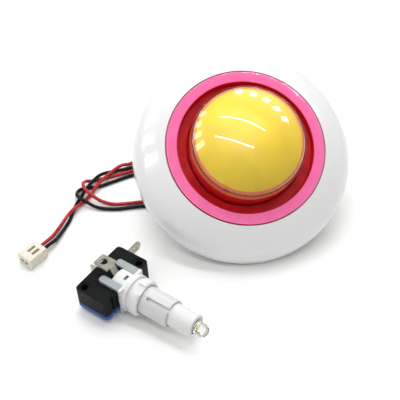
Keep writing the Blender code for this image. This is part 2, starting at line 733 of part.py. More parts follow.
# Where each wire runs, in metres: out of the grommet, left and back in a loop, a turn under the
# rim, then over its own loop to the connector.
RED_ROUTE = [
    (-0.0194, 0.0152, 0.0263), (-0.0200, 0.0176, 0.0220), (-0.0210, 0.0205, 0.0165),
    (-0.0225, 0.0205, 0.0105), (-0.0260, 0.0190, 0.0045), (-0.0310, 0.0175, 0.0012),
    (-0.0370, 0.0165, 0.00082), (-0.0460, 0.0155, 0.00082), (-0.0520, 0.0165, 0.0015),
    (-0.0565, 0.0185, 0.0030), (-0.0600, 0.0215, 0.0042), (-0.0615, 0.0250, 0.0042),
    (-0.0605, 0.0285, 0.0025), (-0.0570, 0.0305, 0.0009), (-0.0500, 0.0330, 0.00082),
    (-0.0410, 0.0365, 0.00082), (-0.0340, 0.0400, 0.00082), (-0.0280, 0.0430, 0.00082),
    (-0.0240, 0.0470, 0.00082), (-0.0245, 0.0515, 0.00082), (-0.0285, 0.0525, 0.00082),
    (-0.0330, 0.0490, 0.00082), (-0.0370, 0.0450, 0.00082), (-0.0410, 0.0420, 0.00082),
    (-0.0450, 0.0390, 0.0025), (-0.0490, 0.0345, 0.0028), (-0.0520, 0.0305, 0.0028),
    (-0.0550, 0.0260, 0.0027), (-0.0575, 0.0220, 0.0013), (-0.0600, 0.0180, 0.0009),
    (-0.0620, 0.0145, 0.0016), (-0.0645, 0.0105, 0.0029), (-0.0670, 0.0060, 0.0028),
    (-0.0695, 0.0015, 0.0017), (-0.0720, -0.0040, 0.0017), (-0.0745, -0.0085, 0.0026),
    (-0.0776, -0.0127, 0.0029),
]
BLACK_ROUTE = [
    (-0.01905, 0.0136, 0.0254), (-0.0196, 0.0160, 0.0210), (-0.0205, 0.0185, 0.0155),
    (-0.0220, 0.0180, 0.0095), (-0.0255, 0.0160, 0.0040), (-0.0300, 0.0145, 0.0013),
    (-0.0360, 0.0140, 0.00082), (-0.0455, 0.0125, 0.00082), (-0.0540, 0.0130, 0.0013),
    (-0.0600, 0.0155, 0.0030), (-0.0635, 0.0185, 0.0030), (-0.0640, 0.0220, 0.0018),
    (-0.0625, 0.0250, 0.00082), (-0.0585, 0.0260, 0.00082), (-0.0540, 0.0270, 0.00082),
    (-0.0480, 0.0300, 0.00082), (-0.0400, 0.0340, 0.00082), (-0.0320, 0.0370, 0.00082),
    (-0.0240, 0.0390, 0.00082), (-0.0160, 0.0425, 0.00082), (-0.0135, 0.0475, 0.00082),
    (-0.0170, 0.0510, 0.0014), (-0.0215, 0.0500, 0.0026), (-0.0255, 0.0480, 0.0026),
    (-0.0300, 0.0455, 0.0015), (-0.0350, 0.0420, 0.00082), (-0.0410, 0.0390, 0.00082),
    (-0.0475, 0.0370, 0.00082), (-0.0520, 0.0345, 0.0020), (-0.0550, 0.0315, 0.0029),
    (-0.0580, 0.0270, 0.0029), (-0.0605, 0.0225, 0.0023), (-0.0625, 0.0190, 0.0009),
    (-0.0640, 0.0150, 0.00082), (-0.0650, 0.0105, 0.00082), (-0.0660, 0.0055, 0.00082),
    (-0.0680, 0.0000, 0.00085), (-0.0705, -0.0065, 0.0018), (-0.0735, -0.0110, 0.0028),
    (-0.0756, -0.0143, 0.0029),
]


def smooth_route(points, count):
    """Evenly spaced points on a Catmull-Rom curve through the route's points."""
    points = [Vector(p) for p in points]
    ends = [2 * points[0] - points[1]] + points + [2 * points[-1] - points[-2]]
    fine = []
    for a, b, c, d in zip(ends, ends[1:], ends[2:], ends[3:]):
        for step in range(16):
            t = step / 16
            bend = (2 * a - 5 * b + 4 * c - d) * t**2
            twist = (3 * b - a - 3 * c + d) * t**3
            fine.append(0.5 * (2 * b + (c - a) * t + bend + twist))
    fine.append(points[-1])
    along = [0.0]
    for p, q in zip(fine, fine[1:]):
        along.append(along[-1] + (q - p).length)
    result = []
    place = 0
    for i in range(count):
        target = along[-1] * i / (count - 1)
        while place < len(along) - 2 and along[place + 1] < target:
            place += 1
        share = (target - along[place]) / (along[place + 1] - along[place])
        point = fine[place].lerp(fine[place + 1], min(1.0, share))
        point.z = max(point.z, LOWEST_WIRE)
        result.append(point)
    return result


def build_wire(name, route, colour):
    curve = bpy.data.curves.new(name, "CURVE")
    curve.dimensions = "3D"
    curve.bevel_depth = WIRE_DIAMETER / 2
    curve.bevel_resolution = 2
    curve.use_fill_caps = True
    spline = curve.splines.new("POLY")
    spline.points.add(WIRE_POINTS - 1)
    for point, place in zip(spline.points, smooth_route(route, WIRE_POINTS)):
        point.co = (*place, 1.0)
    return link(bpy.data.objects.new(name, curve), colour)


def build_connector(plug, ivory, nickel):
    """A two-way crimp housing; +X runs to its mating end, y = 0 is between the contacts."""
    half = CONNECTOR_WIDTH / 2
    length = CONNECTOR_LENGTH
    height = CONNECTOR_HEIGHT
    housing = link(box("connector_housing", (0, -half, 0), (length, half, height)), ivory, plug)
    ribs = []
    for side in (-1, 1):
        low = side * half - 0.35 * MM
        ribs.append(box(f"latch_rib_{side}", (0, low, 3.0 * MM), (2.2 * MM, low + 0.7 * MM, 4.6 * MM)))
    lip_low = (length - 1.2 * MM, -half - 0.3 * MM, 1.0 * MM)
    lip_high = (length, half + 0.3 * MM, height + 0.35 * MM)
    ribs.append(box("mating_lip", lip_low, lip_high))
    add_parts(housing, ribs, plug)
    cuts = []
    for i, y in enumerate((-CONTACT_PITCH / 2, CONTACT_PITCH / 2)):
        low = y - 0.95 * MM
        cuts.append(box(f"contact_bore_{i}", (-MM, low, 1.9 * MM), (length + MM, low + 1.9 * MM, 3.9 * MM)))
        low = y - 0.6 * MM
        cuts.append(box(f"contact_window_{i}", (2.2 * MM, low, 3.5 * MM), (6.2 * MM, low + 1.2 * MM, 7 * MM)))
    cut_parts(housing, cuts, plug)
    for name, y in (("red_contact", -CONTACT_PITCH / 2), ("black_contact", CONTACT_PITCH / 2)):
        crimp = box(name, (1.2 * MM, y - 0.65 * MM, 2.2 * MM), (8.8 * MM, y + 0.65 * MM, 3.5 * MM))
        link(crimp, nickel, plug)
    return housing


# ---------------------------------------------------------------- assembly


def button_frame():
    height = rim_apothem() * math.sin(LEAN)
    return make_frame("BUTTON", (BUTTON_X, BUTTON_Y, height), Euler((0, LEAN, LEAN_HEADING)))


def module_frame():
    """The module rests on the flange's underside and on the end of its lower lamp terminal."""
    flange_flat = FLANGE_RADIUS * math.cos(math.pi / HOLDER_SIDES)
    pitch = math.atan((flange_flat - CASE_HALF - TAB_DROP) / (FLANGE_START + TAB_OVERHANG))
    height = flange_flat * math.cos(pitch) - FLANGE_START * math.sin(pitch)
    return make_frame("MODULE", (MODULE_X, MODULE_Y, height), Euler((0, -pitch, MODULE_HEADING)))


def main():
    clear_scene()
    white = make_material("white_plastic", (0.90, 0.90, 0.91), 0.15)
    inner_white = make_material("natural_plastic", (0.86, 0.87, 0.87), 0.4)
    pink = make_material("pink_lens", (0.95, 0.15, 0.40), 0.12)
    clear = make_material("clear_plastic", (0.95, 0.95, 0.92), 0.03, alpha=0.35)
    yellow = make_material("yellow_plastic", (0.75, 0.55, 0.02), 0.3)
    board_green = make_material("board", (0.85, 0.85, 0.82), 0.5)
    led_white = make_material("led", (0.9, 0.85, 0.5), 0.3)
    steel = make_material("steel", (0.6, 0.6, 0.6), 0.3, 1.0)
    nickel = make_material("nickel", (0.5, 0.48, 0.4), 0.35, 1.0)
    rubber = make_material("rubber", (0.03, 0.03, 0.03), 0.6)
    milky = make_material("milky_plastic", (0.85, 0.87, 0.88), 0.25)
    black = make_material("black_plastic", (0.012, 0.014, 0.014), 0.45)
    blue = make_material("blue_plastic", (0.02, 0.10, 0.36), 0.35)
    ivory = make_material("ivory_plastic", (0.82, 0.80, 0.70), 0.35)
    red_wire = make_material("red_insulation", (0.62, 0.01, 0.015), 0.3)
    black_wire = make_material("black_insulation", (0.012, 0.014, 0.016), 0.3)

    button = button_frame()
    build_bezel(button, white)
    build_lens(button, pink)
    build_leds(button, board_green, led_white)
    build_barrel_housing(button, white)
    build_screws(button, steel)
    build_grommet(button, rubber)
    build_dome(button, clear, yellow)
    build_plunger(button, inner_white)
    build_return_spring(button, steel)
    build_panel_hardware(button, white)

    module = module_frame()
    build_lamp_holder(module, inner_white)
    build_lamp_sleeve(module, milky)
    build_lamp_socket(module, inner_white)
    build_lamp(module, clear, inner_white)
    build_lamp_terminals(module, nickel)
    build_switch_case(module, black, blue)
    build_switch_contacts(module, nickel, steel, inner_white)

    plug = make_frame("PLUG", (CONNECTOR_X, CONNECTOR_Y, 0), Euler((0, 0, CONNECTOR_HEADING)))
    build_connector(plug, ivory, nickel)
    build_wire("red_wire", RED_ROUTE, red_wire)
    build_wire("black_wire", BLACK_ROUTE, black_wire)


main()
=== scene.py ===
import json
import math

import bmesh
import bpy
from mathutils import Euler, Matrix, Vector


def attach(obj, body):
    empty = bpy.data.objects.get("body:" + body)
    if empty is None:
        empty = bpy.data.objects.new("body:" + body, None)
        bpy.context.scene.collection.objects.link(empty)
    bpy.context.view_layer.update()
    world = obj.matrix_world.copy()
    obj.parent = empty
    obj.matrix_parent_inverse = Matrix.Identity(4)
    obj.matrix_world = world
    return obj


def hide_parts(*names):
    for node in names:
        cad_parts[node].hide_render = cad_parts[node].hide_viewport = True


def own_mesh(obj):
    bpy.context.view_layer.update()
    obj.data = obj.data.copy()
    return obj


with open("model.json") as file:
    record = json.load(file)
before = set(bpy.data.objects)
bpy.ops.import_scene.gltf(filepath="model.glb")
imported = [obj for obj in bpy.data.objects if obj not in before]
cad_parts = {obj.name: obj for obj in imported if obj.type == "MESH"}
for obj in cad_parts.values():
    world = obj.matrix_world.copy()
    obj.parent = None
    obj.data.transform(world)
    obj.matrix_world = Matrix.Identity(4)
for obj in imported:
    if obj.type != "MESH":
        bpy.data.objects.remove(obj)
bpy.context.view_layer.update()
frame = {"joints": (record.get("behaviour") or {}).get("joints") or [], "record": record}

MM = 0.001
GAP = 0.3 * MM


def mm(*values):
    """Values given in millimetres, as metres."""
    return tuple(value * MM for value in values)


def scaled(corners):
    """Corners given in millimetres, as metres."""
    return [mm(*corner) for corner in corners]


# ---------------------------------------------------------------- places taken from the frame

# Where a joint's or a mount's own point lies on the piece that it places.
NUT_BELOW_SEAT = 6 * MM
BLADE_PIVOT = mm(9.4, 8.2, 0)
CONNECTOR_LENGTH = 9.8 * MM
CONNECTOR_FACE_HEIGHT = 4.9 * MM


def joint_of(name):
    return next(joint for joint in frame["joints"] if joint["name"] == name)


def mount_of(name):
    return next(mount for mount in frame["record"]["mounts"] if mount["name"] == name)


def placed(origin, x_axis, z_axis):
    """A matrix with its own X and Z axes at an origin."""
    x_axis = Vector(x_axis).normalized()
    z_axis = Vector(z_axis).normalized()
    turn = Matrix((x_axis, z_axis.cross(x_axis), z_axis)).transposed().to_4x4()
    return Matrix.Translation(origin) @ turn


def button_place():
    """z = 0 on the panel seat, +Z out through the dome, +X straight downhill."""
    nut = joint_of("nut_turn")
    out = -Vector(nut["axis"])
    downhill = Vector((0, 0, -1)) + out.z * out
    return placed(Vector(nut["pos_m"]) + NUT_BELOW_SEAT * out, downhill, out)


def module_place():
    """+X along the lamp axis, x = 0 on the switch's rear edge, z = 0 through its middle."""
    blade = joint_of("blade_turn")
    x_axis = Vector(joint_of("lamp_pull")["axis"])
    z_axis = Vector(blade["axis"])
    pivot = Vector(blade["pos_m"])
    origin = pivot - BLADE_PIVOT[0] * x_axis - BLADE_PIVOT[1] * z_axis.cross(x_axis)
    return placed(origin, x_axis, z_axis)


def plug_place():
    """+X to the connector's mating end, z = 0 on the table."""
    face = mount_of("connector_face")
    x_axis = Vector(face["axis"])
    up = Vector((0, 0, 1))
    origin = Vector(face["pos_m"]) - CONNECTOR_LENGTH * x_axis - CONNECTOR_FACE_HEIGHT * up
    return placed(origin, x_axis, up)


BUTTON = button_place()
MODULE = module_place()
PLUG = plug_place()


# ---------------------------------------------------------------- materials

RAMP_ENDS = (0.35, 0.65)


def tint(colour, factor):
    return tuple(channel * factor for channel in colour)


class Finish:
    """A procedural Principled material; each method adds one kind of detail in real sizes."""

    def __init__(self, name, colour, roughness, **sockets):
        self.material = bpy.data.materials.new(name)
        self.material.use_nodes = True
        self.nodes = self.material.node_tree.nodes
        self.links = self.material.node_tree.links
        self.shader = self.nodes["Principled BSDF"]
        self.colour = colour
        self.roughness = roughness
        self.shader.inputs["Base Color"].default_value = (*colour, 1)
        self.shader.inputs["Roughness"].default_value = roughness
        for socket, value in sockets.items():
            self.shader.inputs[socket.replace("_", " ")].default_value = value
        self.place = self.nodes.new("ShaderNodeTexCoord").outputs["Object"]

    def noise(self, size, detail, stretch=(1, 1, 1)):
        """Noise whose blotches are about size metres across."""
        texture = self.nodes.new("ShaderNodeTexNoise")
        texture.inputs["Scale"].default_value = 1.0 / size
        texture.inputs["Detail"].default_value = detail
        source = self.place
        if stretch != (1, 1, 1):
            mapping = self.nodes.new("ShaderNodeMapping")
            mapping.inputs["Scale"].default_value = stretch
            self.links.new(source, mapping.inputs["Vector"])
            source = mapping.outputs["Vector"]
        self.links.new(source, texture.inputs["Vector"])
        return texture.outputs["Fac"]

    def ramp(self, value, low, high):
        """A colour that runs from low to high over the middle of the value's range."""
        ramp = self.nodes.new("ShaderNodeValToRGB")
        for element, position, colour in zip(ramp.color_ramp.elements, RAMP_ENDS, (low, high)):
            element.position = position
            element.color = (*colour, 1)
        self.links.new(value, ramp.inputs["Fac"])
        return ramp.outputs["Color"]

    def blotches(self, size, low, high):
        """Slow colour variation, between two shares of the base colour."""
        colour = self.ramp(self.noise(size, 4.0), tint(self.colour, low), tint(self.colour, high))
        self.links.new(colour, self.shader.inputs["Base Color"])
        return self

    def smears(self, size, spread):
        """Roughness that wanders round its own value."""
        low = max(0.0, self.roughness - spread)
        high = min(1.0, self.roughness + spread)
        grey = self.ramp(self.noise(size, 5.0), (low,) * 3, (high,) * 3)
        self.links.new(grey, self.shader.inputs["Roughness"])
        return self

    def relief(self, size, depth, stretch=(1, 1, 1)):
        """Fine bumps about size metres across and depth metres high."""
        bump = self.nodes.new("ShaderNodeBump")
        bump.inputs["Strength"].default_value = 1.0
        bump.inputs["Distance"].default_value = depth
        self.links.new(self.noise(size, 3.0, stretch), bump.inputs["Height"])
        self.links.new(bump.outputs["Normal"], self.shader.inputs["Normal"])
        return self


def make_materials():
    made = {
        "bezel": Finish("bezel_white", (0.80, 0.795, 0.80), 0.16, Coat_Weight=0.3, Coat_Roughness=0.05)
        .blotches(18 * MM, 0.985, 1.0)
        .smears(9 * MM, 0.03)
        .relief(2.2 * MM, 0.004 * MM),
        "barrel": Finish("barrel_white", (0.76, 0.76, 0.77), 0.3)
        .blotches(12 * MM, 0.96, 1.0)
        .smears(4 * MM, 0.06)
        .relief(0.5 * MM, 0.012 * MM),
        "pink": Finish(
            "ring_pink", (1.0, 0.165, 0.43), 0.09,
            Subsurface_Weight=0.35, Subsurface_Radius=(1.0, 0.25, 0.4), Subsurface_Scale=3 * MM,
            Coat_Weight=1.0, Coat_Roughness=0.04,
        )
        .blotches(7 * MM, 0.93, 1.04)
        .relief(3.5 * MM, 0.12 * MM),
        # Dark red is painted shade, for the ring's walls and the dome's lower side wall.
        "red": Finish("painted_shade_red", (0.60, 0.008, 0.014), 0.18, Specular_IOR_Level=0.3)
        .blotches(5 * MM, 0.8, 1.1)
        .relief(2 * MM, 0.01 * MM),
        "clear": Finish("dome_clear", (1.0, 0.97, 0.9), 0.02, Transmission_Weight=1.0, IOR=1.47)
        .relief(9 * MM, 0.006 * MM),
        "yellow": Finish(
            "dome_yellow", (0.63, 0.47, 0.014), 0.35, Subsurface_Weight=0.2, Subsurface_Scale=2 * MM,
        )
        .blotches(10 * MM, 0.94, 1.03)
        .relief(1.2 * MM, 0.01 * MM),
        # Orange is a painted reflection of the pink ring over the yellow cap, for the dome's side wall.
        "painted_reflection_orange": Finish("dome_painted_reflection_orange", (0.63, 0.153, 0.056), 0.35).blotches(6 * MM, 0.9, 1.05),
        "nylon": Finish(
            "natural_nylon", (0.73, 0.735, 0.735), 0.32, Subsurface_Weight=0.25, Subsurface_Scale=1.2 * MM,
        )
        .blotches(6 * MM, 0.96, 1.0)
        .smears(2 * MM, 0.06)
        .relief(0.6 * MM, 0.008 * MM),
        # A darker bluish grey for the holder's thin arms.
        "arm": Finish(
            "holder_arm_grey", (0.36, 0.40, 0.42), 0.25, Subsurface_Weight=0.3, Subsurface_Scale=1 * MM,
        )
        .blotches(4 * MM, 0.92, 1.03),
        "milky": Finish(
            "milky_nylon", (0.65, 0.66, 0.66), 0.22, Subsurface_Weight=0.5, Subsurface_Scale=1.5 * MM,
        )
        .blotches(5 * MM, 0.95, 1.0)
        .relief(0.9 * MM, 0.006 * MM),
        "bulb": Finish("bulb_clear", (1.0, 1.0, 0.97), 0.02, Transmission_Weight=1.0, IOR=1.45)
        .relief(1.5 * MM, 0.02 * MM),
        "nickel": Finish("nickel", (0.50, 0.48, 0.40), 0.38, Metallic=0.9)
        .blotches(3 * MM, 0.8, 1.05)
        .smears(1.2 * MM, 0.08)
        .relief(0.25 * MM, 0.01 * MM, (1, 6, 1)),
        "steel": Finish("zinc_steel", (0.62, 0.62, 0.60), 0.3, Metallic=1.0)
        .smears(1 * MM, 0.08)
        .relief(0.3 * MM, 0.006 * MM),
        "black": Finish("black_phenolic", (0.007, 0.0078, 0.0078), 0.5, Specular_IOR_Level=0.1)
        .smears(1.5 * MM, 0.08)
        .relief(0.35 * MM, 0.02 * MM),
        "blue": Finish("blue_plastic", (0.009, 0.078, 0.28), 0.42, Specular_IOR_Level=0.3)
        .blotches(3 * MM, 0.85, 1.1)
        .relief(0.35 * MM, 0.012 * MM),
        "ivory": Finish(
            "ivory_nylon", (0.74, 0.71, 0.60), 0.38, Subsurface_Weight=0.2, Subsurface_Scale=0.8 * MM,
        )
        .blotches(2 * MM, 0.94, 1.02)
        .relief(0.3 * MM, 0.008 * MM),
        "tan": Finish("tan_contact", (0.42, 0.30, 0.16), 0.4, Metallic=0.6).smears(0.5 * MM, 0.1),
        "red_wire": Finish("red_insulation", (0.45, 0.009, 0.015), 0.28)
        .blotches(4 * MM, 0.9, 1.05)
        .smears(2 * MM, 0.06)
        .relief(0.7 * MM, 0.015 * MM),
        "black_wire": Finish("black_insulation", (0.007, 0.0078, 0.009), 0.3, Specular_IOR_Level=0.18)
        .smears(2 * MM, 0.06)
        .relief(0.7 * MM, 0.015 * MM),
        "rubber": Finish("black_rubber", (0.02, 0.02, 0.021), 0.6)
        .smears(1.5 * MM, 0.1)
        .relief(0.3 * MM, 0.02 * MM),
        "board": Finish("white_board", (0.74, 0.74, 0.70), 0.4).blotches(4 * MM, 0.9, 1.0),
        "led": Finish("led_phosphor", (0.80, 0.72, 0.30), 0.3).blotches(1 * MM, 0.85, 1.05),
        "floor": Finish("pale_floor", (0.93, 0.93, 0.925), 0.6).blotches(300 * MM, 0.995, 1.0),
    }
    return {name: finish.material for name, finish in made.items()}


# ---------------------------------------------------------------- mesh tools


def add_object(name, bm, material, place=Matrix.Identity(4), smooth_angle=35.0):
    """A mesh object at its place in the row frame."""
    bmesh.ops.remove_doubles(bm, verts=bm.verts, dist=1e-7)
    bmesh.ops.recalc_face_normals(bm, faces=bm.faces)
    mesh = bpy.data.meshes.new(name)
    bm.to_mesh(mesh)
    bm.free()
    mesh.shade_smooth()
    mesh.set_sharp_from_angle(angle=math.radians(smooth_angle))
    if material is not None:
        mesh.materials.append(material)
    obj = bpy.data.objects.new(name, mesh)
    bpy.context.scene.collection.objects.link(obj)
    obj.matrix_world = place
    return obj


def settle(obj, body, replaced):
    """Ride a body, and stand for CAD nodes. A mesh's place is baked in, so that its box is its own."""
    if obj.type == "MESH":
        obj.data.transform(obj.matrix_world)
        obj.matrix_world = Matrix.Identity(4)
    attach(obj, body)
    if replaced:
        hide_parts(*replaced)


def smooth_curve(points, steps):
    """The Catmull-Rom curve through points, with this many steps between each two."""
    points = [Vector(p) for p in points]
    ends = [2 * points[0] - points[1]] + points + [2 * points[-1] - points[-2]]
    curve = []
    for a, b, c, d in zip(ends, ends[1:], ends[2:], ends[3:]):
        for step in range(steps):
            t = step / steps
            bend = (2 * a - 5 * b + 4 * c - d) * t**2
            twist = (3 * b - a - 3 * c + d) * t**3
            curve.append(0.5 * (2 * b + (c - a) * t + bend + twist))
    curve.append(points[-1])
    return curve


NEARLY_STRAIGHT = math.radians(89.5)
UNDER_HALF_AN_EDGE = 0.49


def rounded(corners, steps=6):
    """A closed outline from (x, y, corner radius) points, with each corner rounded."""
    outline = []
    count = len(corners)
    for i, (x, y, radius) in enumerate(corners):
        corner = Vector((x, y))
        before = Vector(corners[i - 1][:2]) - corner
        after = Vector(corners[(i + 1) % count][:2]) - corner
        half = before.angle(after) / 2 if before.length > 0 and after.length > 0 else math.pi / 2
        if radius <= 0 or half > NEARLY_STRAIGHT:
            outline.append((x, y))
            continue
        room = min(before.length * UNDER_HALF_AN_EDGE, after.length * UNDER_HALF_AN_EDGE)
        reach = min(radius / math.tan(half), room)
        start = corner + before.normalized() * reach
        end = corner + after.normalized() * reach
        for step in range(steps + 1):
            t = step / steps
            point = start * (1 - t) ** 2 + corner * 2 * t * (1 - t) + end * t**2
            outline.append((point.x, point.y))
    return outline


def slab(low, high, radii):
    """A rectangle with each corner's own radius, as a rounded outline."""
    (x0, y0), (x1, y1) = low, high
    return rounded([(x0, y0, radii[0]), (x1, y0, radii[1]), (x1, y1, radii[2]), (x0, y1, radii[3])])


def lathe(profile, sides):
    """A closed (radius, height) outline turned round Z."""
    bm = bmesh.new()
    rings = []
    for radius, height in profile:
        if radius < 1e-7:
            rings.append([bm.verts.new((0, 0, height))])
            continue
        angles = [(i + 0.5) * math.tau / sides for i in range(sides)]
        rings.append([bm.verts.new((radius * math.cos(a), radius * math.sin(a), height)) for a in angles])
    for ring, following in zip(rings, rings[1:] + rings[:1]):
        if len(ring) == 1 and len(following) == 1:
            continue
        for i in range(sides):
            j = (i + 1) % sides
            corners = [ring[i % len(ring)], ring[j % len(ring)]]
            corners += [following[j % len(following)], following[i % len(following)]]
            bm.faces.new(list(dict.fromkeys(corners)))
    return bm


def prism(outline, low, high):
    bm = bmesh.new()
    bottom = [bm.verts.new((x, y, low)) for x, y in outline]
    top = [bm.verts.new((x, y, high)) for x, y in outline]
    bm.faces.new(bottom)
    bm.faces.new(top)
    for i in range(len(outline)):
        j = (i + 1) % len(outline)
        bm.faces.new((bottom[i], bottom[j], top[j], top[i]))
    return bm


def block(low, high):
    outline = [(low[0], low[1]), (high[0], low[1]), (high[0], high[1]), (low[0], high[1])]
    return prism(outline, low[2], high[2])


def rod(centre, radius, low, high, sides=48):
    angles = [math.radians(360 * i / sides) for i in range(sides)]
    outline = [(centre[0] + radius * math.cos(a), centre[1] + radius * math.sin(a)) for a in angles]
    return prism(outline, low, high)


def turn(bm, matrix):
    bm.transform(matrix)
    return bm


def along_x(bm):
    return turn(bm, Matrix.Rotation(math.pi / 2, 4, "Y"))


def round_x(bm, degrees):
    return turn(bm, Matrix.Rotation(math.radians(degrees), 4, "X"))


def carve(obj, tools, operation="DIFFERENCE"):
    """Cut or join helper solids, given in the object's own frame, and keep only the result."""
    helpers = []
    for i, bm in enumerate(tools):
        helper = add_object(f"{obj.name}_tool_{i}", bm, None, obj.matrix_world)
        modifier = obj.modifiers.new("carve", "BOOLEAN")
        modifier.operation = operation
        modifier.solver = "EXACT"
        modifier.object = helper
        helpers.append(helper)
    bake_modifiers(obj)
    for helper in helpers:
        bpy.data.objects.remove(helper, do_unlink=True)


def bake_modifiers(obj):
    bpy.context.view_layer.update()
    evaluated = obj.evaluated_get(bpy.context.evaluated_depsgraph_get())
    mesh = bpy.data.meshes.new_from_object(evaluated)
    obj.modifiers.clear()
    obj.data = mesh


def soften(obj, width, segments=3):
    """Rounded edges, as moulding and stamping leave them."""
    modifier = obj.modifiers.new("edges", "BEVEL")
    modifier.width = width
    modifier.segments = segments
    modifier.limit_method = "ANGLE"
    modifier.angle_limit = math.radians(40)
    modifier.harden_normals = True
    modifier.use_clamp_overlap = True
    bake_modifiers(obj)


# ---------------------------------------------------------------- camera

CAMERA_ELEVATION = math.radians(46.15)
CAMERA_DISTANCE = 417 * MM
CAMERA_LENS = 82.2
CAMERA_SENSOR = 36.0
AIM = Vector((-7.9 * MM, 18.9 * MM, 0))


def make_camera():
    data = bpy.data.cameras.new("camera")
    data.lens = CAMERA_LENS
    data.sensor_width = CAMERA_SENSOR
    data.clip_start = 0.01
    camera = bpy.data.objects.new("camera", data)
    bpy.context.scene.collection.objects.link(camera)
    back = Vector((0, -math.cos(CAMERA_ELEVATION), math.sin(CAMERA_ELEVATION)))
    camera.location = AIM + back * CAMERA_DISTANCE
    camera.rotation_euler = (math.pi / 2 - CAMERA_ELEVATION, 0, 0)
    bpy.context.scene.camera = camera


# ---------------------------------------------------------------- the lead

WIRE_DIAMETER = 1.6 * MM
LOWEST_WIRE = WIRE_DIAMETER / 2 + 0.01 * MM
WIRE_POINTS = 260
ROUTE_STEPS = 24
RED_LENGTH = 0.205
BLACK_LENGTH = 0.229
# Where each wire runs, in metres: the same points as the CAD tubes'.
RED_ROUTE = [
    (-0.0194, 0.0152, 0.0263), (-0.0200, 0.0176, 0.0220), (-0.0210, 0.0205, 0.0165),
    (-0.0225, 0.0205, 0.0105), (-0.0260, 0.0190, 0.0045), (-0.0310, 0.0175, 0.0012),
    (-0.0370, 0.0165, 0.00082), (-0.0460, 0.0155, 0.00082), (-0.0520, 0.0165, 0.0015),
    (-0.0565, 0.0185, 0.0030), (-0.0600, 0.0215, 0.0042), (-0.0615, 0.0250, 0.0042),
    (-0.0605, 0.0285, 0.0025), (-0.0570, 0.0305, 0.0009), (-0.0500, 0.0330, 0.00082),
    (-0.0410, 0.0365, 0.00082), (-0.0340, 0.0400, 0.00082), (-0.0280, 0.0430, 0.00082),
    (-0.0240, 0.0470, 0.00082), (-0.0245, 0.0515, 0.00082), (-0.0285, 0.0525, 0.00082),
    (-0.0330, 0.0490, 0.00082), (-0.0370, 0.0450, 0.00082), (-0.0410, 0.0420, 0.00082),
    (-0.0450, 0.0390, 0.0025), (-0.0490, 0.0345, 0.0028), (-0.0520, 0.0305, 0.0028),
    (-0.0550, 0.0260, 0.0027), (-0.0575, 0.0220, 0.0013), (-0.0600, 0.0180, 0.0009),
    (-0.0620, 0.0145, 0.0016), (-0.0645, 0.0105, 0.0029), (-0.0670, 0.0060, 0.0028),
    (-0.0695, 0.0015, 0.0017), (-0.0720, -0.0040, 0.0017), (-0.0745, -0.0085, 0.0026),
    (-0.0776, -0.0127, 0.0029),
]
BLACK_ROUTE = [
    (-0.01905, 0.0136, 0.0254), (-0.0196, 0.0160, 0.0210), (-0.0205, 0.0185, 0.0155),
    (-0.0220, 0.0180, 0.0095), (-0.0255, 0.0160, 0.0040), (-0.0300, 0.0145, 0.0013),
    (-0.0360, 0.0140, 0.00082), (-0.0455, 0.0125, 0.00082), (-0.0540, 0.0130, 0.0013),
    (-0.0600, 0.0155, 0.0030), (-0.0635, 0.0185, 0.0030), (-0.0640, 0.0220, 0.0018),
    (-0.0625, 0.0250, 0.00082), (-0.0585, 0.0260, 0.00082), (-0.0540, 0.0270, 0.00082),
    (-0.0480, 0.0300, 0.00082), (-0.0400, 0.0340, 0.00082), (-0.0320, 0.0370, 0.00082),
    (-0.0240, 0.0390, 0.00082), (-0.0160, 0.0425, 0.00082), (-0.0135, 0.0475, 0.00082),
    (-0.0170, 0.0510, 0.0014), (-0.0215, 0.0500, 0.0026), (-0.0255, 0.0480, 0.0026),
    (-0.0300, 0.0455, 0.0015), (-0.0350, 0.0420, 0.00082), (-0.0410, 0.0390, 0.00082),
    (-0.0475, 0.0370, 0.00082), (-0.0520, 0.0345, 0.0020), (-0.0550, 0.0315, 0.0029),
    (-0.0580, 0.0270, 0.0029), (-0.0605, 0.0225, 0.0023), (-0.0625, 0.0190, 0.0009),
    (-0.0640, 0.0150, 0.00082), (-0.0650, 0.0105, 0.00082), (-0.0660, 0.0055, 0.00082),
    (-0.0680, 0.0000, 0.00085), (-0.0705, -0.0065, 0.0018), (-0.0735, -0.0110, 0.0028),
    (-0.0756, -0.0143, 0.0029),
]


def smooth_route(points, count):
    """Evenly spaced points on a smooth curve through the route's points, on or above the table."""
    fine = smooth_curve(points, ROUTE_STEPS)
    along = [0.0]
    for p, q in zip(fine, fine[1:]):
        along.append(along[-1] + (q - p).length)
    result = []
    place = 0
    for i in range(count):
        target = along[-1] * i / (count - 1)
        while place < len(along) - 2 and along[place + 1] < target:
            place += 1
        share = (target - along[place]) / (along[place + 1] - along[place])
        point = fine[place].lerp(fine[place + 1], min(1.0, share))
        point.z = max(point.z, LOWEST_WIRE)
        result.append(point)
    return result


def build_wire(name, node, route, finish):
    curve = bpy.data.curves.new(name, "CURVE")
    curve.dimensions = "3D"
    curve.bevel_depth = WIRE_DIAMETER / 2
    curve.bevel_resolution = 6
    curve.use_fill_caps = True
    spline = curve.splines.new("POLY")
    spline.points.add(WIRE_POINTS - 1)
    for point, place in zip(spline.points, smooth_route(route, WIRE_POINTS)):
        point.co = (*place, 1.0)
    spline.use_smooth = True
    curve.materials.append(finish)
    wire = bpy.data.objects.new(name, curve)
    bpy.context.scene.collection.objects.link(wire)
    settle(wire, "housing", [node])


# ---------------------------------------------------------------- the button's housing

RIM_RADIUS = 47.55 * MM
DOME_RADIUS = 24.3 * MM
SCREW_CIRCLE = 40.2 * MM
GROMMET_AT = 30.0 * MM
BARREL_RADIUS = 12.0 * MM
BARREL_LENGTH = 20.48 * MM
THREAD_PITCH = 2.5 * MM
THREAD_DEPTH = 0.75 * MM
THREAD_LEAD_IN = 1.2 * MM
THREAD_STEEPNESS = 1.6
THREAD_ROOT_SHARE = 0.25
LED_COUNT = 8
FINE = 256


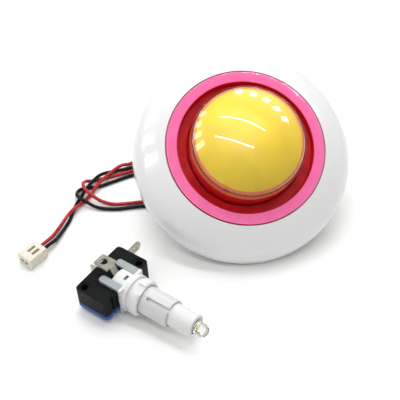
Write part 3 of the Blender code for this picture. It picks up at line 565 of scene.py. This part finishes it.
def build_bezel(finish):
    crown = scaled([
        (47.5, 3.6), (47.2, 6.0), (46.0, 8.6), (43.8, 10.9), (40.6, 12.9), (37.6, 14.6), (35.0, 15.9),
    ])
    face = smooth_curve(crown, 8)
    corners = scaled([(35.0, 15.9, 0), (34.35, 16.25, 0.35), (34.3, 14.5, 0.2), (32.6, 14.5, 0)])
    lip = rounded(corners, 5)[1:]
    inside = scaled([
        (32.6, 12.9), (36.4, 12.7), (40.4, 10.9), (43.6, 8.4), (45.3, 4.8), (45.3, 0.4), (45.5, 0.05),
    ])
    foot = scaled([(47.0, 0.0), (47.4, 0.15)]) + [(RIM_RADIUS, 0.5 * MM), (RIM_RADIUS, 2.6 * MM)]
    bezel = add_object("bezel", lathe(face + lip + inside + foot, FINE), finish, BUTTON, 40)
    settle(bezel, "housing", ["bezel_shell"])


def build_lens(pink, red):
    corners = scaled([
        (33.95, 16.5, 0.45), (34.0, 14.8, 0.1), (30.6, 14.8, 0.1), (30.6, 10.2, 0.1), (25.0, 10.2, 0.1),
        (25.0, 11.6, 0.3), (29.2, 11.6, 0.6), (29.25, 16.5, 0.5),
    ])
    lens = add_object("light_ring", lathe(rounded(corners, 6), FINE), pink, BUTTON)
    lens.data.materials.append(red)
    outer_edge = 33.8 * MM
    inner_edge = 29.3 * MM
    inner_top = 16.1 * MM
    # The ring's outer wall, inner wall and inner lip are painted dark red: painted shade, where they fall
    # into shadow.
    for polygon in lens.data.polygons:
        radius = math.hypot(polygon.center.x, polygon.center.y)
        if radius > outer_edge or (radius < inner_edge and polygon.center.z < inner_top):
            polygon.material_index = 1
    settle(lens, "housing", ["light_ring_lens"])


def build_leds(board_finish, led_finish):
    ring = rounded(scaled([(37.2, 4.3, 0.1), (37.2, 5.9, 0.1), (30.8, 5.9, 0.1), (30.8, 4.3, 0.1)]), 2)
    board = add_object("led_board", lathe(ring, 128), board_finish, BUTTON)
    carve(board, [rod((0, -GROMMET_AT), 4.8 * MM, 3 * MM, 7 * MM)])
    settle(board, "housing", ["led_ring_board"])
    for i in range(LED_COUNT):
        angle = math.tau * (i + 0.5) / LED_COUNT
        package = block(mm(31.6, -2.3, 6.25), mm(36.2, 2.3, 7.75))
        turn(package, Matrix.Rotation(angle, 4, "Z"))
        led = add_object(f"led_package_{i + 1}", package, led_finish, BUTTON)
        soften(led, 0.3 * MM)
        settle(led, "housing", [f"led_{i + 1}"])


def thread_radius(height, angle, low, high):
    """The barrel's radius at a height and an angle: a thread that fades out at both ends."""
    turns = (height / THREAD_PITCH - angle / math.tau) % 1.0
    ridge = 1.0 - abs(2.0 * turns - 1.0)
    crest = min(1.0, max(0.0, THREAD_STEEPNESS * ridge - THREAD_ROOT_SHARE))
    fade = min(1.0, max(0.0, min(height - low, high - height) / THREAD_PITCH))
    return BARREL_RADIUS - THREAD_DEPTH * fade * (1.0 - crest)


def build_barrel(finish):
    bottom = -BARREL_LENGTH
    low = bottom + THREAD_LEAD_IN
    high = 0.0
    rows = 150
    wall = [(BARREL_RADIUS, low + (high - low) * i / rows) for i in range(rows + 1)]
    profile = [(8.5 * MM, bottom), (11.6 * MM, bottom), (BARREL_RADIUS, bottom + 0.4 * MM)] + wall
    profile += scaled([
        (12.4, 0.5), (13.0, 0.6), (43.9, 0.6), (44.2, 0.9), (44.8, 0.9), (44.8, 4.0),
        (10.3, 4.0), (10.3, 5.8), (8.5, 5.8),
    ])
    barrel = add_object("barrel", lathe(profile, 144), finish, BUTTON, 40)
    wall_from = 9 * MM
    wall_to = 12.1 * MM
    for vertex in barrel.data.vertices:
        height = vertex.co.z
        radius = math.hypot(vertex.co.x, vertex.co.y)
        if low <= height <= high and wall_from < radius < wall_to:
            scale = thread_radius(height, math.atan2(vertex.co.y, vertex.co.x), low, high) / radius
            vertex.co.x *= scale
            vertex.co.y *= scale
    tools = [rod((0, -GROMMET_AT), 3.6 * MM, 0, 5 * MM)]
    for place in screw_places():
        tools.append(rod(place, 1.4 * MM, 0, 5 * MM, 32))
        tools.append(rod(place, 2.7 * MM, 0, 2.6 * MM, 40))
    carve(barrel, tools)
    settle(barrel, "housing", ["barrel_housing"])


def screw_places():
    angles = [math.radians(45 + 90 * i) for i in range(4)]
    return [(SCREW_CIRCLE * math.cos(a), SCREW_CIRCLE * math.sin(a)) for a in angles]


def build_screws(finish):
    profile = scaled([
        (0, 0.95), (1.0, 1.0), (1.7, 1.2), (2.1, 1.6), (2.2, 2.0),
        (2.2, 2.3), (1.0, 2.3), (1.0, 8.0), (0, 8.4),
    ])
    for i, (x, y) in enumerate(screw_places()):
        place = BUTTON @ Matrix.Translation((x, y, 0))
        screw = add_object(f"screw_{i + 1}", lathe(profile, 48), finish, place)
        slots = [block(mm(-0.28, -1.3, 0.5), mm(0.28, 1.3, 1.75)) for _ in range(2)]
        turn(slots[1], Matrix.Rotation(math.pi / 2, 4, "Z"))
        carve(screw, slots)
        settle(screw, "housing", [f"body_screw_{i + 1}"])


def build_grommet(finish):
    corners = scaled([
        (1.95, -1.4, 0.2), (2.7, -1.4, 0.4), (4.6, -0.5, 0.4), (4.6, 0.3, 0.1), (3.3, 0.3, 0.1),
        (3.3, 4.3, 0.1), (4.4, 4.3, 0.2), (4.4, 5.2, 0.3), (1.95, 5.2, 0.2),
    ])
    place = BUTTON @ Matrix.Translation((0, -GROMMET_AT, 0))
    grommet = add_object("grommet", lathe(rounded(corners, 4), 64), finish, place)
    settle(grommet, "housing", ["wire_grommet"])


# ---------------------------------------------------------------- the push button


def cap_points(radius, rim, top, count):
    """A shallow spherical cap from its rim to the axis, as (radius, height)."""
    rise = top - rim
    sphere = (radius**2 + rise**2) / (2 * rise)
    start = math.asin(radius / sphere)
    angles = [start * (1 - i / (count - 1)) for i in range(count)]
    middle = top - sphere
    return [(sphere * math.sin(a) if a > 1e-9 else 0.0, middle + sphere * math.cos(a)) for a in angles]


def build_dome(clear, yellow, painted_reflection_orange, red):
    """The clear dome, with a painted reflection in orange and painted shade in dark red down its side
    wall, and the coloured cap inside it.
    """
    outside = cap_points(23.6 * MM, 25.05 * MM, 33.2 * MM, 40)
    inside = cap_points(23.5 * MM, 24.35 * MM, 32.4 * MM, 36)
    corners = scaled([
        (23.6, 8.6, 0), (28.6, 8.6, 0.2), (28.6, 9.9, 0.3), (24.3, 9.9, 0.3), (24.3, 20.5, 0),
    ])
    skirt = rounded(corners, 4)
    edge = 0.7 * MM
    edge_foot = 24.35 * MM
    angles = [math.radians(70 * i / 8) for i in range(9)]
    rim = [(DOME_RADIUS - edge * (1 - math.cos(a)), edge_foot + edge * math.sin(a)) for a in angles]
    profile = skirt + rim + outside + inside[::-1] + scaled([(23.6, 23.9)])
    dome = lathe(profile, FINE)
    side_wall = 24.2 * MM
    side_wall_top = 24.3 * MM
    painted_shade_top = 20.0 * MM
    # Down the side wall, the upper band is painted orange as a painted reflection of the pink ring, and
    # dark red below it is painted shade.
    for face in dome.faces:
        middle = face.calc_center_median()
        if math.hypot(*middle.xy) > side_wall and middle.z < side_wall_top:
            face.material_index = 1 + int(middle.z < painted_shade_top)
    dome = add_object("dome", dome, clear, BUTTON, 50)
    dome.data.materials.append(painted_reflection_orange)
    dome.data.materials.append(red)
    dome.visible_shadow = False
    settle(dome, "push_button", ["dome_cover"])

    outside = cap_points(23.3 * MM, 24.1 * MM, 32.0 * MM, 36)
    inside = cap_points(20.4 * MM, 22.2 * MM, 29.8 * MM, 30)
    profile = scaled([(21.0, 16.9), (23.4, 16.9), (23.4, 23.6), (23.35, 23.9)])
    profile += outside + inside[::-1] + scaled([(21.0, 21.6)])
    insert = lathe(profile, 192)
    # The cap's outer edge is painted orange: a painted reflection of the pink ring, as on the dome's side
    # wall.
    painted_reflection_from = 22.3 * MM
    for face in insert.faces:
        face.material_index = int(math.hypot(*face.calc_center_median().xy) > painted_reflection_from)
    insert = add_object("dome_colour", insert, yellow, BUTTON)
    insert.data.materials.append(painted_reflection_orange)
    settle(insert, "push_button", ["dome_insert"])


def build_plunger(finish):
    corners = scaled([
        (6.6, -9.0, 0.2), (7.9, -9.0, 0.4), (7.9, 15.0, 0.6),
        (22.4, 15.0, 0.3), (22.4, 16.6, 0.3), (6.6, 16.6, 0.3),
    ])
    plunger = add_object("guide_plunger", lathe(rounded(corners, 4), 96), finish, BUTTON)
    windows = []
    for i in range(4):
        window = block(mm(11, -4, 14), mm(19, 4, 18))
        windows.append(turn(window, Matrix.Rotation(math.tau * i / 4, 4, "Z")))
    carve(plunger, windows)
    settle(plunger, "push_button", ["plunger"])


def build_spring(finish):
    wire = 0.55 * MM
    coil = 11.6 * MM
    low = 4.0 * MM + GAP + wire
    high = 15.0 * MM - GAP - wire
    turns = 5
    per_turn = 48
    wire_sides = 12
    closed_turns = 0.7
    closed_pitch = 2.5 * wire
    open_height = high - low - 2 * closed_turns * closed_pitch
    bm = bmesh.new()
    rings = []
    for i in range(turns * per_turn + 1):
        turned = i / per_turn
        closed = min(turned, closed_turns) + max(0.0, turned - turns + closed_turns)
        opened = min(1.0, max(0.0, (turned - closed_turns) / (turns - 2 * closed_turns)))
        height = low + closed_pitch * closed + open_height * opened
        angle = math.tau * turned
        out = Vector((math.cos(angle), math.sin(angle), 0))
        middle = coil * out + height * Vector((0, 0, 1))
        ring = []
        for k in range(wire_sides):
            spot = math.tau * k / wire_sides
            side = math.cos(spot) * out + math.sin(spot) * Vector((0, 0, 1))
            ring.append(bm.verts.new(middle + wire * side))
        rings.append(ring)
    for ring, following in zip(rings, rings[1:]):
        for k in range(wire_sides):
            m = (k + 1) % wire_sides
            bm.faces.new((ring[k], ring[m], following[m], following[k]))
    bm.faces.new(rings[0])
    bm.faces.new(rings[-1])
    spring = add_object("coil_spring", bm, finish, BUTTON, 60)
    settle(spring, "housing", ["return_spring"])
    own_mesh(spring)


def build_panel_hardware(finish):
    corners = scaled([(12.35, -3.2, 0.1), (15.6, -3.2, 0.25), (15.6, -2.0, 0.25), (12.35, -2.0, 0.1)])
    washer = add_object("washer", lathe(rounded(corners, 4), 128), finish, BUTTON)
    settle(washer, "clamp_washer", ["panel_washer"])
    corners = scaled([(12.3, -8.6, 0.3), (15.4, -8.6, 0.5), (15.4, -3.5, 0.5), (12.3, -3.5, 0.3)])
    nut = add_object("nut", lathe(rounded(corners, 4), 180), finish, BUTTON)
    grips = []
    for i in range(12):
        grip = rod(mm(16.0, 0), 1.3 * MM, -10 * MM, -2 * MM, 32)
        grips.append(turn(grip, Matrix.Rotation(math.tau * i / 12, 4, "Z")))
    carve(nut, grips)
    settle(nut, "clamp_nut", ["panel_nut"])


# ---------------------------------------------------------------- the lamp holder

CASE_HALF = 5.15 * MM
LID_THICKNESS = 2.4 * MM
CASE_WIDTH = 15.9 * MM
CASE_NEAR_END = -14.6 * MM
CASE_FAR_END = 13.2 * MM
PLUNGER_OFFSET = -5.6 * MM


def build_holder(finish, arm_finish):
    corners = scaled([
        (0, 10.3, 0), (7.25, 10.3, 0.5), (7.25, 17.4, 0.15), (8.0, 17.4, 0.25), (8.0, 19.5, 0.3),
        (6.95, 19.5, 0.2), (6.95, 21.2, 0.15), (7.85, 21.2, 0.2), (7.85, 24.4, 0.3), (7.4, 25.0, 0.2),
        (6.3, 25.0, 0.2), (6.3, 16.0, 0),
        (0, 16.0, 0),
    ])
    holder = add_object("holder", along_x(lathe(rounded(corners, 4), 160)), finish, MODULE)
    joined = [block(mm(16.4, -7.1, -6.7), mm(17.6, 7.1, 6.7))]
    for side in (-1, 1):
        for low in mm(5.45, -6.7):
            outline = slab(mm(5.9, -1.65), mm(17.0, 1.65), mm(1.5, 0.1, 0.1, 1.5))
            arm = prism(outline, low, low + 1.25 * MM)
            joined.append(turn(arm, Matrix.Translation((0, side * 5.3 * MM, 0))))
    carve(holder, joined, "UNION")
    cuts = [
        along_x(rod((0, 0), 6.3 * MM, 15 * MM, 19 * MM, 160)),
        block(mm(9, -9, -5.45), mm(16.4, 9, 5.45)),
        block(mm(9, -2.0, 5), mm(17.9, 2.0, 6.5)),
        block(mm(9, -2.0, -6.5), mm(17.9, 2.0, -5)),
        block(mm(14.5, -1.3, 6), mm(15.9, 1.3, 8)),
        block(mm(16.3, -7.05, -2.0), mm(17.75, -4.1, 2.0)),
    ]
    for i in range(3):
        notch = block(mm(19.5, -2.2, 6.95), mm(26, 2.2, 9))
        cuts.append(round_x(notch, 120 * (i + 0.12)))
    carve(holder, cuts)
    soften(holder, 0.16 * MM, 2)
    holder.data.materials.append(arm_finish)
    arms_end = 13 * MM
    arms_inside = 3.4 * MM
    arms_underside = 5.3 * MM
    # The thin fork arms are coloured a darker bluish grey than the rest of this one moulded holder.
    for polygon in holder.data.polygons:
        middle = polygon.center
        if middle.x < arms_end and abs(middle.y) > arms_inside and abs(middle.z) > arms_underside:
            polygon.material_index = 1
    settle(holder, "module", ["lamp_holder"])


def build_sleeve(finish):
    corners = scaled([(5.25, 17.4, 0.1), (6.0, 17.4, 0.15), (6.0, 38.4, 0.25), (5.25, 38.4, 0.15)])
    sleeve = add_object("sleeve", along_x(lathe(rounded(corners, 4), 128)), finish, MODULE)
    cuts = [block(mm(16, -2.6, -8), mm(21, 2.6, 8))]
    for i in range(4):
        slot_cut = prism(slab(mm(27.5, -0.7), mm(41, 0.7), mm(0.5, 0, 0, 0.5)), 4 * MM, 8 * MM)
        cuts.append(round_x(slot_cut, 28 + 90 * i))
    carve(sleeve, cuts)
    soften(sleeve, 0.1 * MM, 2)
    settle(sleeve, "sleeve", ["lamp_sleeve"])


def build_socket(finish):
    corners = scaled([(3.3, 18.0, 0), (4.9, 18.0, 0.2), (4.9, 49.5, 0.6), (3.3, 49.5, 0.3)])
    socket = add_object("socket", along_x(lathe(rounded(corners, 6), 128)), finish, MODULE)
    settle(socket, "module", ["lamp_socket"])


def build_lamp(clear, white, led_finish, metal):
    profile = scaled([(0, 49.9), (2.75, 49.9), (2.75, 52.4)])
    for i in range(1, 12):
        angle = math.radians(90 * i / 12)
        profile.append(mm(2.75 * math.cos(angle), 52.4 + 2.7 * math.sin(angle)))
    profile.append(mm(0, 55.1))
    bulb = add_object("bulb", along_x(lathe(profile, 64)), clear, MODULE)
    bulb.visible_shadow = False
    settle(bulb, "lamp", ["lamp_bulb"])
    outline = slab(mm(41, -2.2), mm(49.6, 2.5), mm(0.4, 0.2, 0.2, 0.4))
    base = add_object("wedge_base", prism(outline, -1.8 * MM, 1.8 * MM), white, MODULE)
    soften(base, 0.2 * MM)
    settle(base, "lamp", ["lamp_base"])
    chip = add_object("lamp_chip", block(mm(50.2, -0.9, -0.9), mm(50.9, 0.9, 0.9)), led_finish, MODULE)
    soften(chip, 0.12 * MM)
    settle(chip, "lamp", ())
    for side in (-1, 1):
        low = mm(50.2, side * 1.6 - 0.16, -0.5)
        high = mm(52.6, side * 1.6 + 0.16, 0.5)
        post = add_object(f"lamp_post_{side + 2}", block(low, high), metal, MODULE)
        soften(post, 0.08 * MM)
        settle(post, "lamp", ())


FOLD_REACH = 0.6 * MM


def strip_mesh(line, half_width, thickness):
    """A sheet-metal strip folded along a line in the X-Z plane, with rounded folds."""
    corners = [Vector(point) for point in line]
    path = [corners[0]]
    for before, corner, after in zip(corners, corners[1:], corners[2:]):
        back = before - corner
        ahead = after - corner
        reach = min(FOLD_REACH, back.length * 0.45, ahead.length * 0.45)
        start = corner + back.normalized() * reach
        end = corner + ahead.normalized() * reach
        for step in range(6):
            t = step / 5
            path.append(start * (1 - t) ** 2 + corner * 2 * t * (1 - t) + end * t**2)
    path.append(corners[-1])
    left = []
    right = []
    for i, point in enumerate(path):
        direction = (path[min(i + 1, len(path) - 1)] - path[max(i - 1, 0)]).normalized()
        normal = Vector((-direction.y, direction.x))
        left.append(point + normal * thickness / 2)
        right.append(point - normal * thickness / 2)
    bm = prism([(p.x, p.y) for p in left + right[::-1]], -half_width, half_width)
    return turn(bm, Matrix.Rotation(math.pi / 2, 4, "X"))


def build_lamp_terminals(finish):
    upper = scaled([
        (0.6, 9.45), (8.2, 9.45), (8.7, 7.6), (9.9, 5.9), (17.2, 5.9), (17.2, 2.45), (47.0, 2.45),
    ])
    lower = scaled([(-1.0, -6.65), (8.1, -6.65), (9.3, -5.9), (17.2, -5.9), (17.2, -2.45), (47.0, -2.45)])
    for name, node, line in (
        ("lamp_tab_upper", "upper_lamp_terminal", upper), ("lamp_tab_lower", "lower_lamp_terminal", lower)
    ):
        strip = add_object(name, strip_mesh(line, 1.5 * MM, 0.6 * MM), finish, MODULE)
        height = line[0][1]
        outline = slab((line[0][0], -3.15 * MM), mm(8.0, 3.15), mm(1.0, 0.6, 0.6, 1.0))
        carve(strip, [prism(outline, height - 0.4 * MM, height + 0.4 * MM)], "UNION")
        carve(strip, [rod(mm(3.9, 0), 1.6 * MM, height - MM, height + MM)])
        soften(strip, 0.09 * MM, 2)
        settle(strip, "module", [node])


# ---------------------------------------------------------------- the snap-action switch


def case_outline():
    corners = [
        (0, CASE_NEAR_END, 1.8 * MM),
        (CASE_WIDTH, CASE_NEAR_END, 2.6 * MM),
        (CASE_WIDTH, CASE_NEAR_END + 3.6 * MM, 0.2 * MM),
        (CASE_WIDTH - 0.9 * MM, CASE_NEAR_END + 3.7 * MM, 0.2 * MM),
        (CASE_WIDTH - 0.9 * MM, CASE_NEAR_END + 4.7 * MM, 0.2 * MM),
        (CASE_WIDTH, CASE_NEAR_END + 4.8 * MM, 0.2 * MM),
        (CASE_WIDTH, CASE_FAR_END, 1.6 * MM),
        (0, CASE_FAR_END, 1.8 * MM),
    ]
    return rounded(corners, 8)


def hole_places():
    near = (2.8 * MM, CASE_NEAR_END + 2.8 * MM)
    return near, (near[0] + 10.3 * MM, near[1] + 22.2 * MM)


def build_switch(black, blue, grey):
    split = -CASE_HALF + LID_THICKNESS
    case = add_object("switch_body", prism(case_outline(), split, CASE_HALF), black, MODULE)
    left = 1.5 * MM
    right = CASE_WIDTH - 1.5 * MM
    low = CASE_NEAR_END + 1.5 * MM
    high = CASE_FAR_END - 1.5 * MM
    pocket = [
        (left, low + 4.4 * MM), (5.4 * MM, low + 4.4 * MM), (5.4 * MM, low), (right - 1.3 * MM, low),
        (right - 1.3 * MM, low + 3.6 * MM), (right, low + 3.6 * MM), (right, high - 4.4 * MM),
        (10.4 * MM, high - 4.4 * MM), (10.4 * MM, high), (left, high),
    ]
    y = PLUNGER_OFFSET
    cuts = [
        prism(pocket, split - MM, CASE_HALF - 1.5 * MM),
        block((13 * MM, y - 1.4 * MM, -2 * MM), (17 * MM, y + 1.4 * MM, 2 * MM)),
        block(mm(2.7, 10, -2.7), mm(4.1, 15, 2.7)),
        block(mm(-1, -0.3, -2.7), mm(3, 1.1, 2.7)),
    ]
    for place in hole_places():
        cuts.append(rod(place, 1.55 * MM, split - MM, CASE_HALF + MM))
    carve(case, cuts)
    recesses = [rod(place, 2.5 * MM, CASE_HALF - 0.35 * MM, CASE_HALF + MM) for place in hole_places()]
    carve(case, recesses)
    soften(case, 0.22 * MM, 3)
    settle(case, "module", ["switch_case"])

    cover = add_object("switch_lid", prism(case_outline(), -CASE_HALF, split - GAP), blue, MODULE)
    carve(cover, [rod(place, 1.55 * MM, -CASE_HALF - MM, split + MM) for place in hole_places()])
    soften(cover, 0.22 * MM, 3)
    settle(cover, "module", ["switch_cover"])

    outline = slab((9.9 * MM, y - 1.1 * MM), (17.1 * MM, y + 1.1 * MM), mm(0.2, 0.8, 0.8, 0.2))
    button = add_object("switch_pin", prism(outline, -1.6 * MM, 1.6 * MM), grey, MODULE)
    soften(button, 0.2 * MM)
    settle(button, "switch_plunger", ["switch_button"])


def build_switch_metal(nickel, steel):
    tip = CASE_FAR_END + 9.4 * MM
    outline = rounded([
        mm(8.8, -2.3, 0.1), (tip - 1.3 * MM, -2.3 * MM, 0.7 * MM), (tip, -0.8 * MM, 0.5 * MM),
        (tip, 0.8 * MM, 0.5 * MM), (tip - 1.3 * MM, 2.3 * MM, 0.7 * MM), mm(8.8, 2.3, 0.1),
    ])
    blade = prism(outline, 3.0 * MM, 3.8 * MM)
    turn(blade, Matrix(((0, 0, 1, 0), (1, 0, 0, 0), (0, 1, 0, 0), (0, 0, 0, 1))))
    common = add_object("common_blade", blade, nickel, MODULE)
    carve(common, [block(mm(3.2, 8.8, -1.8), mm(9.0, 9.5, 1.8))], "UNION")
    hole = along_x(rod((0, 0), 0.85 * MM, 2 * MM, 5 * MM))
    carve(common, [turn(hole, Matrix.Translation((0, tip - 3.4 * MM, 0)))])
    soften(common, 0.1 * MM, 2)
    settle(common, "module", ["common_terminal"])

    opened = add_object("open_blade", block(mm(-4.8, 0, -2.3), mm(4.2, 0.8, 2.3)), nickel, MODULE)
    arm = block(mm(3.4, -8.6, -1.8), mm(4.2, 0.4, 1.8))
    rivet = block(mm(4.0, -8.4, -1.0), mm(6.9, -6.6, 1.0))
    carve(opened, [arm, rivet], "UNION")
    soften(opened, 0.1 * MM, 2)
    settle(opened, "module", ["open_terminal"])

    pivot = MODULE @ Matrix.Translation(BLADE_PIVOT)
    arm = add_object("moving_blade", block(mm(-0.2, -17.4, -1.6), mm(0.2, 0, 1.6)), steel, pivot)
    carve(arm, [block(mm(-0.8, -16.6, -1.0), mm(0, -14.8, 1.0))], "UNION")
    soften(arm, 0.06 * MM, 2)
    settle(arm, "contact_blade", ["switch_blade"])


# ---------------------------------------------------------------- the connector

CONNECTOR_WIDTH = 7.2 * MM
CONNECTOR_HEIGHT = 5.75 * MM
CONTACT_PITCH = 2.5 * MM


def build_connector(ivory, tan):
    half = CONNECTOR_WIDTH / 2
    length = CONNECTOR_LENGTH
    height = CONNECTOR_HEIGHT
    housing = add_object("connector", block((0, -half, 0), (length, half, height)), ivory, PLUG)
    lip_low = (length - 1.2 * MM, -half - 0.3 * MM, 1.0 * MM)
    lip_high = (length, half + 0.3 * MM, height + 0.35 * MM)
    ribs = [block(lip_low, lip_high)]
    for side in (-1, 1):
        low = side * half - 0.35 * MM
        ribs.append(block((0, low, 3.0 * MM), (2.2 * MM, low + 0.7 * MM, 4.6 * MM)))
    carve(housing, ribs, "UNION")
    cuts = []
    for y in (-CONTACT_PITCH / 2, CONTACT_PITCH / 2):
        cuts.append(block((-MM, y - 0.95 * MM, 1.9 * MM), (length + MM, y + 0.95 * MM, 3.9 * MM)))
        cuts.append(block((2.2 * MM, y - 0.6 * MM, 3.5 * MM), (6.2 * MM, y + 0.6 * MM, 7 * MM)))
    carve(housing, cuts)
    soften(housing, 0.14 * MM, 3)
    settle(housing, "housing", ["connector_housing"])
    for name, node, y in (
        ("crimp_red", "red_contact", -CONTACT_PITCH / 2),
        ("crimp_black", "black_contact", CONTACT_PITCH / 2),
    ):
        low = (1.2 * MM, y - 0.65 * MM, 2.2 * MM)
        high = (8.8 * MM, y + 0.65 * MM, 3.5 * MM)
        crimp = add_object(name, block(low, high), tan, PLUG)
        soften(crimp, 0.2 * MM)
        settle(crimp, "housing", [node])


# ---------------------------------------------------------------- the studio


WORLD_COLOUR = (1.0, 0.99, 0.975)
WORLD_STRENGTH = 0.46
KEY_PLACE = (-0.10, 0.55, 0.95)
KEY_SIZE = (0.9, 0.7)
KEY_POWER = 4.6
# Two long, thin lights overhead: each lies along the line between two points round the button.
STRIP_ENDS = (((-0.24, 0.17), (0.33, -0.03)), ((-0.32, -0.13), (0.18, -0.33)))
STRIP_HEIGHT = 0.6
STRIP_SIZE = (0.60, 0.012)
STRIP_POWER = 0.9
# A row of small lights behind the object and another on its left, for small reflections.
WINDOW_DISTANCE = 1.2
WINDOW_ELEVATIONS = (36, 37, 37, 36, 33)
WINDOW_SIZE = (0.12, 0.16)
WINDOW_POWER = 0.7
PANE_COUNT = 4
PANE_HEIGHT = 0.75
PANE_SIZE = (0.16, 0.30)
PANE_POWER = 0.7


def area_light(name, place, target, size, power):
    data = bpy.data.lights.new(name, "AREA")
    data.shape = "RECTANGLE"
    data.size = size[0]
    data.size_y = size[1]
    data.energy = power
    lamp = bpy.data.objects.new(name, data)
    bpy.context.scene.collection.objects.link(lamp)
    lamp.location = place
    lamp.rotation_euler = (Vector(target) - Vector(place)).to_track_quat("-Z", "Y").to_euler()
    return lamp


def build_studio(floor_finish):
    bm = bmesh.new()
    bmesh.ops.create_grid(bm, x_segments=1, y_segments=1, size=3.0)
    floor = add_object("floor", bm, floor_finish)
    world = bpy.data.worlds.new("studio")
    world.use_nodes = True
    background = world.node_tree.nodes["Background"]
    background.inputs["Color"].default_value = (*WORLD_COLOUR, 1)
    background.inputs["Strength"].default_value = WORLD_STRENGTH
    bpy.context.scene.world = world
    centre = BUTTON.translation
    key = area_light("key", KEY_PLACE, centre, KEY_SIZE, KEY_POWER)
    key.visible_glossy = False
    key.visible_transmission = False
    for i, (start, end) in enumerate(STRIP_ENDS):
        middle = centre + Vector(((start[0] + end[0]) / 2, (start[1] + end[1]) / 2, STRIP_HEIGHT))
        strip = area_light(f"strip_{i + 1}", middle, middle - Vector((0, 0, 1)), STRIP_SIZE, STRIP_POWER)
        strip.rotation_euler = Euler((0, 0, math.atan2(end[1] - start[1], end[0] - start[0])))
    for i, degrees in enumerate(WINDOW_ELEVATIONS):
        azimuth = math.radians(1 + 15 * i)
        elevation = math.radians(degrees)
        level = math.cos(elevation)
        towards = Vector((math.sin(azimuth) * level, math.cos(azimuth) * level, math.sin(elevation)))
        place = centre + WINDOW_DISTANCE * towards
        area_light(f"window_{i + 1}", place, centre, WINDOW_SIZE, WINDOW_POWER)
    for i in range(PANE_COUNT):
        azimuth = math.radians(-52 - 17 * i)
        place = centre + Vector((math.sin(azimuth), math.cos(azimuth), PANE_HEIGHT))
        area_light(f"pane_{i + 1}", place, centre, PANE_SIZE, PANE_POWER)
    bpy.context.scene.view_settings.view_transform = "Standard"


# ---------------------------------------------------------------- assembly


def main():
    make_camera()
    finish = make_materials()
    build_connector(finish["ivory"], finish["tan"])
    for colour, route, length in (("red", RED_ROUTE, RED_LENGTH), ("black", BLACK_ROUTE, BLACK_LENGTH)):
        node = f"{colour}_wire"
        build_wire(f"wire_{colour}", node, route, finish[node])

    build_bezel(finish["bezel"])
    build_lens(finish["pink"], finish["red"])
    build_leds(finish["board"], finish["led"])
    build_barrel(finish["barrel"])
    build_screws(finish["steel"])
    build_grommet(finish["rubber"])
    build_dome(finish["clear"], finish["yellow"], finish["painted_reflection_orange"], finish["red"])
    build_plunger(finish["nylon"])
    build_spring(finish["steel"])
    build_panel_hardware(finish["barrel"])

    build_holder(finish["nylon"], finish["arm"])
    build_sleeve(finish["milky"])
    build_socket(finish["nylon"])
    build_lamp(finish["bulb"], finish["nylon"], finish["led"], finish["nickel"])
    build_lamp_terminals(finish["nickel"])
    build_switch(finish["black"], finish["blue"], finish["nylon"])
    build_switch_metal(finish["nickel"], finish["steel"])
    build_studio(finish["floor"])


main()
